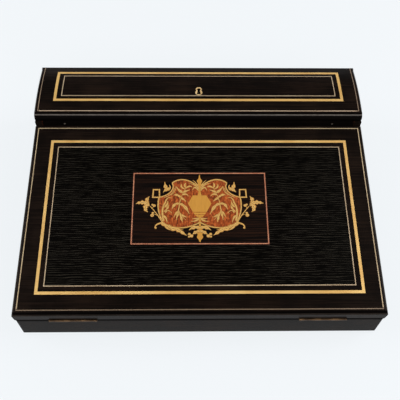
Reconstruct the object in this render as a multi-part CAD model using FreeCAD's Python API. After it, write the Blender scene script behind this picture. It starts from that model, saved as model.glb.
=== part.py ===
"""Sloping letter writing box with an ink compartment and an end drawer, in millimetres.

The frame's origin is on the underside at the middle of the case, +X to the right, +Y to the back, +Z up.
"""
import FreeCAD, Part
import math
import os

from FreeCAD import Vector

os.makedirs("parts", exist_ok=True)

# ---- driving dimensions: the case
case_w = 360.6            # outside width
case_d = 288.5            # outside depth
front_h = 35.8            # height of the case at its front face
rear_h = 81.6             # height of the case round the ink compartment
slope_deg = 8.0           # pitch of the writing slope
side_t = 8.0
front_t = 9.0
back_t = 8.0
bottom_t = 5.0
rebate = 4.0              # how far the bottom board lies inside the outer faces
felt_t = 0.8
felt_margin = 2.0
corner_r = 1.8            # rounding of the upright outer corners
partition_t = 8.0
ink_d = 61.9              # clear depth of the ink compartment and of the drawer bay
bay_h = 30.4              # clear height of the drawer bay
ink_floor_t = 4.0
paper_t = 0.6             # lining papers
paper_margin = 1.0

# ---- driving dimensions: clearances
lid_gap = 0.3             # between a closed lid and the case
lid_back_gap = 0.6        # between the slope's back edge and the partition
run_gap = 0.4             # each side of the drawer
drawer_under_gap = 0.3
drawer_top_gap = 0.6
bolt_gap = 0.1            # round the lock bolt
swing_gap = 2.0           # between the lock and the partition, for the swing of the lid
pin_gap = 0.05            # radial, in the hinge knuckles
knuckle_gap = 0.3         # between knuckles, and round the barrel

# ---- driving dimensions: the slope lid
lid_side_over = 0.5
lid_front_over = 1.0
lid_t = 10.4
bevel_w = 2.5
bevel_drop = 0.8
inlay_t = 1.0
line_end_in = 0.8         # lines lie this much further in from a lid's two ends than from its long edges
edge_line_w = 0.9
edge_line_in = 3.2        # centre of the edge line from the lid's edge
band_w = 3.0
band_in = 20.1            # centre of the broad band from the lid's edge
inner_line_w = 0.9
inner_line_in = 27.1
lining_t = 0.8
lining_margin = 14.0
tablet_w = 139.2          # centre to centre of the frame line
tablet_h = 80.4
tablet_back = 5.6         # the tablet's centre lies this far behind the lid's
tablet_line_w = 1.7
ornament_t = 0.7

# ---- driving dimensions: the back lid
nose_set = 2.2            # the nose lies behind the partition's front face
nose_w = 7.2
nose_h = 7.9
camber = 2.4
back_round = 3.0
back_drop = 0.3           # the camber ends this much lower at the back
end_bevel = 1.2
back_edge_line_w = 0.9
back_band_front = 21.9    # centre of the broad band behind the nose
back_band_rear = 11.5     # and in front of the back edge
back_inner_front = 27.9
back_inner_rear = 17.0

# ---- driving dimensions: hinges
hinge_len = 46.6
hinge_left_x = 123.5      # middles of the two hinges, from the middle of the case
hinge_right_x = 119.3
hinge_out = 1.2           # the barrel's centre stands this far out of the case
barrel_r = 1.5
hinge_pin_r = 0.7
leaf_t = 1.2
leaf_d = 8.6
knuckles = 3
screw_head_r = 1.7
screw_head_h = 0.9
screw_r = 0.9
screw_len = 5.5
screw_step = 16.0
screw_in = 5.2

# ---- flats round what is drawn with straight sides instead of a true round
screw_sides = 8
pin_sides = 10
barrel_sides = 14
turned_sides = 22
key_sides = 14

# ---- driving dimensions: lock
lock_w = 44.0
lock_d = 34.0
lock_h = 12.0
lock_flange = 8.0         # its two ends, drilled for screws
lock_flange_t = 1.6
bolt_w = 16.0
bolt_h = 4.0
bolt_len = 24.0
bolt_up = 4.0             # bolt above the lock's lower face
strike_w = 30.0
strike_h = 9.0
strike_t = 1.2
strike_room = 0.4         # round the bolt in the strike
mortise_d = 6.4
escutcheon_y = 34.7       # centre of the escutcheon behind the nose
escutcheon_r = 3.5        # its back lobe
escutcheon_foot_r = 4.1   # its front lobe
escutcheon_len = 12.2
escutcheon_rim = 1.4
key_hole_r = 2.0
key_waist = 2.2
key_foot = 4.6

# ---- driving dimensions: ink compartment
cell_w = 46.0
cell_wall_t = 4.0
cell_wall_h = 34.0
tray_h = 18.0
trough_w = 44.0
trough_depth = 13.0
trough_end = 12.0
well_size = 40.0
well_h = 27.0
well_wall = 4.0
well_corner = 4.0
neck_r = 10.0
neck_bore_r = 7.0
neck_h = 3.5
cap_r = 12.5
cap_h = 6.0
cap_bevel = 2.0
cap_plug_h = 3.0
plug_gap = 0.1

# ---- driving dimensions: partition pins
part_pin_x = 148.0
part_pin_r = 1.1
part_pin_proud = 0.3
part_pin_len = 6.0
part_pin_below = 2.4      # centre below the partition's top

# ---- driving dimensions: drawer
drawer_len = 300.0
drawer_front_t = 9.0
drawer_side_t = 5.0
drawer_bottom_t = 3.0
tail_depth = 6.0
tail_w = 8.0
tail_flare = 1.6
stop_t = 10.0
stop_h = 12.0
knob_r = 5.5
knob_len = 11.0
knob_neck_r = 2.6
knob_end_r = 3.9
knob_swell = (0.5, 0.7, 0.85)   # shares of its length where it swells, is widest and rounds off
rose_r = 7.5
rose_t = 1.2

# ---- derived places
x_out = case_w / 2
x_in = x_out - side_t
y_front = -case_d / 2
y_back = case_d / 2
y_well = y_front + front_t
y_part_back = y_back - back_t - ink_d
y_part = y_part_back - partition_t
y_bay_back = y_back - back_t
z_board = felt_t
z_floor = felt_t + bottom_t
z_bay_top = z_floor + bay_h
z_ink = z_bay_top + ink_floor_t
cos_s = math.cos(math.radians(slope_deg))
sin_s = math.sin(math.radians(slope_deg))
tan_s = math.tan(math.radians(slope_deg))
z_slope_back = front_h + (y_part - y_front) * tan_s
lid_x = x_out + lid_side_over
line_x = lid_x - line_end_in
far = 2 * case_w          # longer than anything that is cut
touch = 0.001             # places nearer than this are the same

# the slope lid's own frame: u along X, v up the slope from the top's front edge, w out of the top
y_lid_front = y_front - lid_front_over
lid_y0 = y_lid_front + bevel_w * cos_s - bevel_drop * sin_s
seam_w = -(lid_t + lid_gap)
lid_z0 = front_h - (y_front - lid_y0 + seam_w * sin_s) / cos_s * sin_s - seam_w * cos_s
lid_len = (y_part - lid_back_gap - lid_y0) / cos_s

# the back lid
z_lid = rear_h + lid_gap
y_nose = y_part + nose_set


def box(x0, x1, y0, y1, z0, z1):
    """A box between two corners."""
    return Part.makeBox(x1 - x0, y1 - y0, z1 - z0, Vector(x0, y0, z0))


def face(points):
    """A flat face from corners."""
    corners = [Vector(*p) for p in points]
    return Part.Face(Part.makePolygon(corners + [corners[0]]))


def prism_x(points, x0, x1):
    """A (y, z) outline carried along X."""
    return face([(x0, y, z) for y, z in points]).extrude(Vector(x1 - x0, 0, 0))


def prism_z(points, z0, z1):
    """An (x, y) outline carried up Z."""
    return face([(x, y, z0) for x, y in points]).extrude(Vector(0, 0, z1 - z0))


def rod(radius, length, base, direction):
    """A true round bar."""
    return Part.makeCylinder(radius, length, Vector(*base), Vector(*direction))


def turned(profile, sides):
    """A piece turned about Z with flats, from (radius, height) pairs that go up its side."""
    turns = [2 * math.pi * i / sides for i in range(sides)]
    rings = [[(r * math.cos(t), r * math.sin(t), h) for t in turns] for r, h in profile]
    flats = [face(rings[0][::-1]), face(rings[-1])]
    for low, high in zip(rings, rings[1:]):
        for i in range(sides):
            j = (i + 1) % sides
            flats.append(face([low[i], low[j], high[j], high[i]]))
    return Part.Solid(Part.Shell(flats)).removeSplitter()


def along(shape, base, way):
    """A piece that was made up Z, moved to base and pointed along way."""
    placed = shape.copy()
    turn = FreeCAD.Rotation(Vector(0, 0, 1), Vector(*way))
    placed.Placement = FreeCAD.Placement(Vector(*base), turn)
    return placed


def bar(radius, length, base, way, sides):
    """A thin round bar with flats, its corners on the radius."""
    return along(turned([(radius, 0), (radius, length)], sides), base, way)


def round_hole(radius, length, base, way, sides):
    """What a round hole takes away, drawn with flats that lie on the radius."""
    return bar(radius / math.cos(math.pi / sides), length, base, way, sides)


def rounded(shape, radius):
    """The shape with its upright corners rounded over."""
    upright = []
    for edge in shape.Edges:
        ends = [v.Point for v in edge.Vertexes]
        if len(ends) == 2 and abs(ends[0].x - ends[1].x) + abs(ends[0].y - ends[1].y) < touch:
            if abs(abs(ends[0].x) - shape.BoundBox.XMax) < touch:
                upright.append(edge)
    return shape.makeFillet(radius, upright)


def screw(base, way):
    """A countersunk screw, its head's face at base and its point along way."""
    profile = [(screw_head_r, 0), (screw_r, screw_head_h), (screw_r, screw_len)]
    return along(turned(profile, screw_sides), base, way)


def on_slope(shape):
    """From the slope lid's own frame to the part's frame."""
    placed = shape.copy()
    placed.rotate(Vector(0, 0, 0), Vector(1, 0, 0), slope_deg)
    placed.translate(Vector(0, lid_y0, lid_z0))
    return placed


def mirrored(shape):
    """The same shape on the other side of the middle."""
    return shape.mirror(Vector(0, 0, 0), Vector(1, 0, 0))


def both_sides(shapes):
    """Shapes on the right and their mirror images."""
    return shapes + [mirrored(s) for s in shapes]


def ring_prism(x, y0, y1, width, z0, z1):
    """A mitred rectangular line of one width, centred on x, y0 and y1."""
    half = width / 2
    outer = box(-x - half, x + half, y0 - half, y1 + half, z0, z1)
    inner = box(-x + half, x - half, y0 + half, y1 - half, z0 - 1, z1 + 1)
    return outer.cut(inner)


def mitred(ring, x, y0, y1):
    """The four lengths of a rectangular line, parted on the mitres at its corners."""
    mid = (y0 + y1) / 2
    reach = (y1 - y0) / 2
    more = reach / 2
    z0 = ring.BoundBox.ZMin - 1
    z1 = ring.BoundBox.ZMax + 1
    wedge = [(-x + reach, mid), (-x - more, mid - reach - more), (-x - more, mid + reach + more)]
    left = prism_z(wedge, z0, z1)
    right = mirrored(left)
    ends = [ring.common(left), ring.common(right)]
    longs = ring.cut(left).cut(right)
    return Part.makeCompound(ends + longs.Solids)


# ---- butt hinges, made at the barrel's centre: X along the pin, Y into the box, Z up
def knuckle_spans():
    """Start and end of each knuckle along the pin."""
    step = (hinge_len + knuckle_gap) / knuckles
    spans = []
    for i in range(knuckles):
        start = -hinge_len / 2 + i * step
        spans.append((start, start + step - knuckle_gap))
    return spans


def hinge_leaf(own, other, z0):
    """One leaf with its knuckles; own and other are the spans of this leaf and of its partner."""
    half = hinge_len / 2
    leaf = box(-half, half, 0, leaf_d, z0, z0 + leaf_t)
    room = barrel_r + knuckle_gap
    for start, end in other:
        long = end - start + 2 * knuckle_gap
        leaf = leaf.cut(round_hole(room, long, (start - knuckle_gap, 0, 0), (1, 0, 0), barrel_sides))
    for start, end in own:
        leaf = leaf.fuse(bar(barrel_r, end - start, (start, 0, 0), (1, 0, 0), barrel_sides))
    bore = round_hole(hinge_pin_r + pin_gap, hinge_len + 2, (-half - 1, 0, 0), (1, 0, 0), pin_sides)
    return leaf.cut(bore).removeSplitter()


def hinge_screws(z_face, way):
    """Countersunk screws through a leaf, heads flush with z_face, points along way."""
    places = [Vector(i * screw_step, screw_in, z_face) for i in (-1, 0, 1)]
    return Part.makeCompound([screw(place, (0, 0, way)) for place in places])


def butt_hinge():
    """The pieces of one hinge, and the room that they take out of the wood."""
    spans = knuckle_spans()
    case_spans = spans[0::2]
    lid_spans = spans[1::2]
    half = hinge_len / 2
    low = -lid_gap / 2
    high = lid_gap / 2
    case_screws = hinge_screws(low, -1)
    lid_screws = hinge_screws(high, 1)
    case_leaf = hinge_leaf(case_spans, lid_spans, low - leaf_t).cut(case_screws)
    lid_leaf = hinge_leaf(lid_spans, case_spans, high).cut(lid_screws)
    pin = bar(hinge_pin_r, hinge_len, (-half, 0, 0), (1, 0, 0), pin_sides)
    room = round_hole(barrel_r + knuckle_gap, hinge_len + 2 * knuckle_gap, (-half - knuckle_gap, 0, 0),
                      (1, 0, 0), barrel_sides)
    case_room = box(-half, half, 0, leaf_d, low - leaf_t, low + lid_gap)
    lid_room = box(-half, half, 0, leaf_d, high - lid_gap, high + leaf_t)
    return {"case_leaf": case_leaf, "lid_leaf": lid_leaf, "pin": pin,
            "case_screws": case_screws, "lid_screws": lid_screws,
            "case_room": case_room.fuse(room), "lid_room": lid_room.fuse(room)}


def hinge_pair(place):
    """Two hinges, left and right, each piece put in its place."""
    pair = {}
    for name, shape in butt_hinge().items():
        placed = [place(shape, x) for x in (-hinge_left_x, hinge_right_x)]
        pair[name] = Part.makeCompound(placed)
    return pair


def at_front_seam(shape, x):
    """A hinge piece on the seam under the slope lid."""
    v_axis = (y_front - hinge_out - lid_y0 - (lid_t + lid_gap / 2) * sin_s) / cos_s
    placed = shape.copy()
    placed.translate(Vector(x, v_axis, -(lid_t + lid_gap / 2)))
    return on_slope(placed)


def at_back_seam(shape, x):
    """A hinge piece on the seam under the back lid."""
    placed = shape.copy()
    placed.rotate(Vector(0, 0, 0), Vector(0, 0, 1), 180)
    placed.translate(Vector(x, y_back + hinge_out, rear_h + lid_gap / 2))
    return placed


front_hinges = hinge_pair(at_front_seam)
back_hinges = hinge_pair(at_back_seam)


# ---- case
def envelope():
    """The case's outside: a sloping front part and the taller ink compartment."""
    outline = [(y_front, z_board), (y_back, z_board), (y_back, rear_h), (y_part, rear_h),
               (y_part, z_slope_back), (y_front, front_h)]
    plan = rounded(box(-x_out, x_out, y_front, y_back, z_board, rear_h), corner_r)
    return prism_x(outline, -x_out, x_out).common(plan)


def bottom_board():
    """A board let into rebates in the four walls."""
    return box(-x_out + rebate, x_out - rebate, y_front + rebate, y_back - rebate, z_board, z_floor)


def wall(plan):
    """One wall with mitred ends, rebated for the bottom board."""
    return prism_z(plan, z_board, rear_h).common(envelope()).cut(bottom_board())


def case_front():
    plan = [(-x_out, y_front), (x_out, y_front), (x_in, y_well), (-x_in, y_well)]
    return wall(plan).cut(front_hinges["case_room"]).cut(front_hinges["case_screws"])


def case_back():
    plan = [(-x_out, y_back), (-x_in, y_bay_back), (x_in, y_bay_back), (x_out, y_back)]
    return wall(plan).cut(back_hinges["case_room"]).cut(back_hinges["case_screws"])


def case_side_left():
    plan = [(-x_out, y_front), (-x_in, y_well), (-x_in, y_bay_back), (-x_out, y_back)]
    return wall(plan)


def case_side_right():
    plan = [(x_out, y_front), (x_out, y_back), (x_in, y_bay_back), (x_in, y_well)]
    mouth = box(x_in - 1, x_out + 1, y_part_back, y_bay_back, z_floor, z_bay_top)
    return wall(plan).cut(mouth)


def base_felt():
    """Thick felt under the whole box."""
    m = felt_margin
    return box(-x_out + m, x_out - m, y_front + m, y_back - m, 0, felt_t)


def case_bottom():
    return bottom_board()


z_lock = z_lid - lock_h
z_bolt = z_lock + bolt_up
bolt_rest_y = y_part_back + swing_gap


def strike_plate():
    z_mid = z_bolt + bolt_h / 2
    half = strike_w / 2
    return box(-half, half, y_part_back - strike_t, y_part_back, z_mid - strike_h / 2, z_mid + strike_h / 2)


def strike_slot(depth):
    half = bolt_w / 2 + strike_room
    return box(-half, half, y_part_back - depth, y_part_back + 1,
               z_bolt - strike_room, z_bolt + bolt_h + strike_room)


def strike_screws():
    x = (strike_w + bolt_w) / 4 + strike_room / 2
    z_mid = z_bolt + bolt_h / 2
    return Part.makeCompound([screw(Vector(side, y_part_back, z_mid), (0, -1, 0)) for side in (-x, x)])


def lock_strike():
    return strike_plate().cut(strike_slot(strike_t + 1)).cut(strike_screws())


def partition_pins():
    """Two small pins whose ends show in the riser behind the slope."""
    z = rear_h - part_pin_below
    base = (part_pin_x, y_part - part_pin_proud, z)
    right = bar(part_pin_r, part_pin_len + part_pin_proud, base, (0, 1, 0), pin_sides)
    return Part.makeCompound(both_sides([right]))


def ink_partition():
    """The riser between the paper well and the ink compartment."""
    board = box(-x_in, x_in, y_part, y_part_back, z_floor, rear_h)
    board = board.cut(strike_plate()).cut(strike_slot(mortise_d)).cut(strike_screws())
    return board.cut(partition_pins())


def well_lining():
    """Lining paper on the floor of the paper well."""
    m = paper_margin
    return box(-x_in + m, x_in - m, y_well + m, y_part - m, z_floor, z_floor + paper_t)


# ---- ink compartment
def ink_floor():
    return box(-x_in, x_in, y_part_back, y_bay_back, z_bay_top, z_ink)


def cell_wall_right():
    x = x_in - cell_w
    return box(x - cell_wall_t, x, y_part_back, y_bay_back, z_ink, z_ink + cell_wall_h)


def cell_wall_left():
    return mirrored(cell_wall_right())


def pen_tray():
    """A block hollowed with a round-bottomed trough that stops short of both ends."""
    half = x_in - cell_w - cell_wall_t
    y_mid = (y_part_back + y_bay_back) / 2
    top = z_ink + tray_h
    block = box(-half, half, y_part_back, y_bay_back, z_ink, top)
    radius = (trough_w ** 2 / 4 + trough_depth ** 2) / (2 * trough_depth)
    run = half - trough_end
    return block.cut(rod(radius, 2 * run, (-run, y_mid, top - trough_depth + radius), (1, 0, 0)))


def octagon(size, corner):
    """A square outline with cut corners, round the origin."""
    h = size / 2
    c = h - corner
    return [(h, -c), (h, c), (c, h), (-c, h), (-h, c), (-h, -c), (-c, -h), (c, -h)]


def inkwell_glass(x):
    """A square cut-glass bottle with a round neck and bore."""
    y = (y_part_back + y_bay_back) / 2
    body = prism_z(octagon(well_size, well_corner), 0, well_h)
    inside = prism_z(octagon(well_size - 2 * well_wall, well_corner), well_wall, well_h - well_wall)
    neck = bar(neck_r, neck_h, (0, 0, well_h), (0, 0, 1), turned_sides)
    bore = round_hole(neck_bore_r, well_h, (0, 0, well_h - well_wall - 1), (0, 0, 1), turned_sides)
    glass = body.fuse(neck).cut(inside).cut(bore).removeSplitter()
    glass.translate(Vector(x, y, z_ink))
    return glass


def inkwell_cap(x):
    """A turned brass cap that plugs the neck, bevelled round the top."""
    y = (y_part_back + y_bay_back) / 2
    z = z_ink + well_h + neck_h
    plug_r = neck_bore_r - plug_gap
    profile = [(plug_r, -cap_plug_h), (plug_r, 0), (cap_r, 0), (cap_r, cap_h - cap_bevel),
               (cap_r - cap_bevel, cap_h)]
    return along(turned(profile, turned_sides), (x, y, z), (0, 0, 1))


cell_x = x_in - cell_w / 2


# ---- slope lid, in its own frame until it is placed
def lid_blank():
    """The board with a shallow bevel on the front and both ends."""
    foot = lid_t * tan_s
    outline = [(0, 0), (lid_len, 0), (lid_len - foot, -lid_t),
               (-bevel_w - (lid_t - bevel_drop) * tan_s, -lid_t), (-bevel_w, -bevel_drop)]
    blank = prism_x(outline, -lid_x, lid_x)
    start = -far / 4
    low = -bevel_drop - bevel_drop / bevel_w
    wedge_face = face([(lid_x - bevel_w, start, 0), (lid_x + 1, start, low), (lid_x + 1, start, 1),
                       (lid_x - bevel_w, start, 1)])
    wedge = wedge_face.extrude(Vector(0, far, 0))
    plan = rounded(box(-lid_x, lid_x, -bevel_w, lid_len + lid_t, -2 * lid_t, lid_t), corner_r)
    plan.translate(Vector(0, -(lid_t - bevel_drop) * tan_s, 0))
    return blank.cut(wedge).cut(mirrored(wedge)).common(plan)


def slope_line(inset, width):
    """A rectangular line let flush into the top."""
    return ring_prism(line_x - inset, inset, lid_len - inset, width, -inlay_t, 0)


def slope_lining_sheet():
    m = lining_margin
    return box(-x_out + m, x_out - m, m, lid_len - m, -lid_t, -lid_t + lining_t)


tablet_v = lid_len / 2 + tablet_back


def tablet_ring():
    y0 = tablet_v - tablet_h / 2
    y1 = tablet_v + tablet_h / 2
    return ring_prism(tablet_w / 2, y0, y1, tablet_line_w, -inlay_t, 0)


def tablet_block():
    x = (tablet_w - tablet_line_w) / 2
    y = (tablet_h - tablet_line_w) / 2
    return box(-x, x, tablet_v - y, tablet_v + y, -inlay_t, 0)


def field_block():
    """The grained field between the inner line and the tablet's frame."""
    inset = inner_line_in + inner_line_w / 2
    outer = box(-line_x + inset, line_x - inset, inset, lid_len - inset, -inlay_t, 0)
    return outer.cut(tablet_block()).cut(tablet_ring())


# ---- the tablet's ornament, drawn on its own 139 by 80 sheet: x to the right, y up the slope
sheet = (139.2, 80.4)
chord = tablet_w / 25     # a bend is drawn in straight runs of about this length
berry_sides = 7
leaf_shares = (0.45, 0.4, 0.3)   # where a leaf is widest, towards its start and its tip, and its extra bend


def art(p):
    """A point of the drawing as a vector on the tablet."""
    return Vector(p[0] * tablet_w / sheet[0], tablet_v + p[1] * tablet_h / sheet[1], -ornament_t)


def drawn(width):
    """A width on the drawing as a width on the tablet."""
    return width * tablet_w / sheet[0]


def arc(a, m, b):
    return Part.Arc(a, m, b).toShape()


def line(a, b):
    return Part.LineSegment(a, b).toShape()


def leaf(start, middle, tip, width):
    """A pointed leaf that bends through its middle, with six corners."""
    a, m, b = art(start), art(middle), art(tip)
    across = Vector(a.y - b.y, b.x - a.x, 0).normalize() * drawn(width / 2)
    near_share, far_share, more_bend = leaf_shares
    more = (m - (a + b) * 0.5) * more_bend
    near = m + (a - m) * near_share + more
    beyond = m + (b - m) * far_share + more
    return face([a, near + across, beyond + across, b, beyond - across, near - across])


def bend(start, middle, end):
    """Points along the arc through three points of the drawing."""
    curve = arc(art(start), art(middle), art(end))
    runs = max(2, round(curve.Length / chord))
    return curve.discretize(Number=runs + 1)


def stem(start, middle, end, width):
    """A ribbon of one width along an arc."""
    curve = arc(art(start), art(middle), art(end)).Curve
    grow = drawn(width / 2) / curve.Radius
    points = bend(start, middle, end)
    outer = [p + (p - curve.Center) * grow for p in points]
    inner = [p - (p - curve.Center) * grow for p in points]
    return face(outer + inner[::-1])


def patch(points):
    """A flat piece with straight sides."""
    return face([art(p) for p in points])


def berry(centre, radius):
    """A round berry with a few sides."""
    middle = art(centre)
    turns = [2 * math.pi * i / berry_sides for i in range(berry_sides)]
    return face([middle + Vector(math.cos(t), math.sin(t), 0) * drawn(radius) for t in turns])


# corners of one lobe of the cartouche, and the points that its sides bend through
lobe_top = (1.0, 24.0)
lobe_arch = (16.0, 32.2)
lobe_ear = (28.6, 28.8)
lobe_lip = (27.6, 25.5)
lobe_neck = (31.5, 17.0)
lobe_shoulder = (42.6, 11.8)
lobe_side = (44.0, -3.0)
lobe_heel = (37.6, -17.0)
lobe_belly = (20.0, -22.6)
lobe_foot = (0.0, -16.0)


def lobe():
    """The ground of the right-hand lobe."""
    arch = bend(lobe_top, lobe_arch, lobe_ear)
    neck = bend(lobe_lip, lobe_neck, lobe_shoulder)
    side = bend(lobe_shoulder, lobe_side, lobe_heel)
    belly = bend(lobe_heel, lobe_belly, lobe_foot)
    return face(arch + neck[:-1] + side[:-1] + belly)


def lobe_outline():
    """Light strapwork round the lobe."""
    strap_w = 1.9
    return [stem(lobe_top, lobe_arch, lobe_ear, strap_w),
            patch([(27.6, 29.6), (29.6, 29.4), (28.8, 25.2), (26.9, 25.6)]),
            stem(lobe_lip, lobe_neck, lobe_shoulder, strap_w),
            stem((25.0, 23.5), (28.6, 16.6), (37.0, 11.2), 1.0),
            stem(lobe_shoulder, lobe_side, lobe_heel, strap_w),
            stem(lobe_heel, lobe_belly, lobe_foot, strap_w)]


def square_knot():
    """An open square of strapwork on the lobe's shoulder."""
    outer = patch([(40.9, 10.9), (50.0, 10.9), (49.4, 21.6), (41.2, 21.6)])
    hole = patch([(43.0, 12.9), (47.8, 12.9), (47.4, 19.7), (43.2, 19.7)])
    return [outer.cut(hole).Faces[0]]


def heel_scroll():
    """The leafy scroll under the lobe, curled at its outer end."""
    return [stem((37.0, -17.6), (42.8, -19.2), (46.0, -22.6), 2.0),
            leaf((40.5, -17.0), (32.0, -22.2), (20.5, -24.0), 5.4),
            leaf((30.0, -21.6), (22.5, -26.0), (12.8, -32.2), 4.2),
            leaf((34.0, -20.5), (31.5, -23.8), (27.5, -25.8), 2.4)]


def vine_spray():
    """A stem with a three-lobed leaf and two berries, outside the lobe."""
    return [stem((38.6, -16.4), (44.6, -7.4), (51.6, 1.6), 1.2),
            leaf((52.0, 1.2), (53.6, 6.0), (52.4, 12.4), 4.0),
            leaf((52.0, 2.4), (59.0, 4.6), (66.6, 3.6), 4.2),
            leaf((52.4, 3.4), (55.4, -1.0), (53.8, -5.8), 4.0),
            leaf((56.0, 3.6), (59.4, 6.0), (62.0, 7.4), 2.4),
            stem((47.2, -3.4), (48.4, -1.4), (48.0, 0.6), 0.9),
            berry((46.8, 1.6), 2.1),
            stem((43.4, -9.2), (45.6, -8.6), (47.6, -9.0), 0.9),
            berry((48.9, -9.4), 2.4)]


def shoulder_sprig():
    """Two leaves that spring from the strapwork of the neck."""
    return [leaf((31.0, 20.6), (34.8, 24.4), (36.8, 29.8), 4.2),
            leaf((30.4, 22.0), (34.4, 20.0), (38.6, 17.6), 3.4)]


def palmette():
    """The bud on top with its fan of leaves, right half."""
    return [leaf((0.6, 21.0), (3.0, 27.4), (7.4, 32.4), 2.4),
            leaf((0.6, 20.0), (5.6, 26.6), (11.6, 29.0), 2.6),
            leaf((0.6, 18.6), (6.6, 23.0), (12.6, 22.0), 3.0)]


def foot_leaves():
    """The two lowest leaves of the urn and the right half of the pendant."""
    return [leaf((0.4, -12.0), (4.4, -14.4), (9.2, -15.8), 2.6),
            leaf((0.0, -23.0), (6.0, -22.0), (11.6, -25.8), 4.4),
            leaf((0.0, -24.6), (3.4, -28.2), (6.6, -30.0), 3.4),
            berry((7.6, -30.8), 2.0),
            berry((10.2, -28.9), 1.6),
            berry((9.8, -32.2), 1.5)]


def urn():
    """The vase in the middle with its neck, bands and stalk."""
    return [patch([(-7.2, 13.6), (-12.2, 4.5), (-7.4, -5.0), (7.4, -5.0), (12.2, 4.5), (7.2, 13.6)]),
            patch([(-6.6, -5.8), (-5.8, -7.6), (5.8, -7.6), (6.6, -5.8)]),
            patch([(-5.2, -8.3), (-3.4, -10.4), (3.4, -10.4), (5.2, -8.3)]),
            patch([(-2.2, 27.0), (-1.4, 13.0), (1.4, 13.0), (2.2, 27.0)]),
            patch([(-1.3, -10.2), (-1.0, -24.0), (1.0, -24.0), (1.3, -10.2)]),
            leaf((0.0, 25.0), (0.0, 32.6), (0.0, 38.6), 5.0),
            leaf((0.0, -21.0), (0.0, -29.6), (0.0, -38.6), 6.4)]


def gold_faces():
    right = lobe_outline() + square_knot() + heel_scroll() + vine_spray() + shoulder_sprig()
    return both_sides(right + palmette() + foot_leaves()) + urn()


def let_in(faces):
    """Flat shapes given the thickness of the veneer and fused."""
    veneers = [f.extrude(Vector(0, 0, ornament_t)) for f in faces]
    return veneers[0].multiFuse(veneers[1:]).removeSplitter()


ornament = let_in(gold_faces())
lobes = let_in(both_sides([lobe()]))
burl = lobes.cut(ornament)


# ---- slope lid, the pieces
def slope_lid_board():
    board = lid_blank()
    inset = inner_line_in + inner_line_w / 2
    cuts = [slope_line(edge_line_in, edge_line_w), slope_line(band_in, band_w),
            slope_line(inner_line_in, inner_line_w), slope_lining_sheet(),
            box(-line_x + inset, line_x - inset, inset, lid_len - inset, -inlay_t, 0)]
    for cut in cuts:
        board = board.cut(cut)
    placed = on_slope(board)
    return placed.cut(front_hinges["lid_room"]).cut(front_hinges["lid_screws"])


def slope_stringing(inset, width):
    """Brass line in four mitred lengths."""
    ring = slope_line(inset, width)
    return on_slope(mitred(ring, line_x - inset, inset, lid_len - inset))


def tablet_frame():
    y0 = tablet_v - tablet_h / 2
    y1 = tablet_v + tablet_h / 2
    return on_slope(mitred(tablet_ring(), tablet_w / 2, y0, y1))


# ---- back lid
def back_lid_blank():
    """A cambered board with a quarter-round nose along its front edge."""
    z_crown_front = z_lid + nose_h
    z_crown_back = z_crown_front - back_drop
    y_crown_front = y_nose + nose_w
    y_crown_back = y_back - back_round
    crown = Vector(0, (y_crown_front + y_crown_back) / 2, (z_crown_front + z_crown_back) / 2 + camber)
    corner = math.cos(math.radians(45))
    nose = Vector(0, y_crown_front - nose_w * corner, z_lid + nose_h * corner)
    heel = Vector(0, y_crown_back + back_round * corner, z_crown_back - back_round * (1 - corner))
    p_nose = Vector(0, y_nose, z_lid)
    p_front = Vector(0, y_crown_front, z_crown_front)
    p_rear = Vector(0, y_crown_back, z_crown_back)
    p_heel = Vector(0, y_back, z_crown_back - back_round)
    p_foot = Vector(0, y_back, z_lid)
    edges = [arc(p_nose, nose, p_front), arc(p_front, crown, p_rear), arc(p_rear, heel, p_heel),
             line(p_heel, p_foot), line(p_foot, p_nose)]
    outline = Part.Face(Part.Wire(edges))
    outline.translate(Vector(-lid_x, 0, 0))
    return outline.extrude(Vector(2 * lid_x, 0, 0))


def end_bevelled(blank):
    """The same board with its two top end edges bevelled."""
    edges = []
    for e in blank.Edges:
        middle = e.valueAt((e.FirstParameter + e.LastParameter) / 2)
        if abs(abs(middle.x) - lid_x) < touch and middle.z > z_lid + nose_h:
            edges.append(e)
    return blank.makeChamfer(end_bevel, edges)


lid_blank_back = end_bevelled(back_lid_blank())
lowered = lid_blank_back.copy()
lowered.translate(Vector(0, 0, -inlay_t))
top_skin = lid_blank_back.cut(lowered)
z_high = z_lid + nose_h + camber + 1
y_edge_line = y_nose + nose_w


def back_line(inset, y0, y1, width):
    """A rectangular line that follows the camber."""
    return ring_prism(line_x - inset, y0, y1, width, z_lid, z_high).common(top_skin)


def back_edge_ring():
    """The edge line: front and both ends, running out at the back edge."""
    return back_line(edge_line_in, y_edge_line, y_back + 2 * band_w, back_edge_line_w)


back_band_ends = (y_nose + back_band_front, y_back - back_band_rear)
back_inner_ends = (y_nose + back_inner_front, y_back - back_inner_rear)


def back_band_ring():
    return back_line(band_in, *back_band_ends, band_w)


def back_inner_ring():
    return back_line(inner_line_in, *back_inner_ends, inner_line_w)


y_escutcheon = y_nose + escutcheon_y
y_key_back = y_escutcheon + escutcheon_len / 2 - escutcheon_r
y_key_front = y_escutcheon - escutcheon_len / 2 + escutcheon_foot_r


def escutcheon_outline(z0, z1):
    """Two overlapping rounds, the larger one in front."""
    back = bar(escutcheon_r, z1 - z0, (0, y_key_back, z0), (0, 0, 1), key_sides)
    return back.fuse(bar(escutcheon_foot_r, z1 - z0, (0, y_key_front, z0), (0, 0, 1), key_sides))


def keyhole(z0, z1):
    """A round for the key's pipe and a flared slot for its bit."""
    foot = y_escutcheon - escutcheon_len / 2 + escutcheon_rim
    waist = key_waist / 2
    flare = key_foot / 2
    slot = prism_z([(-waist, y_key_back), (-flare, foot), (flare, foot), (waist, y_key_back)], z0, z1)
    return round_hole(key_hole_r, z1 - z0, (0, y_key_back, z0), (0, 0, 1), key_sides).fuse(slot)


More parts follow.
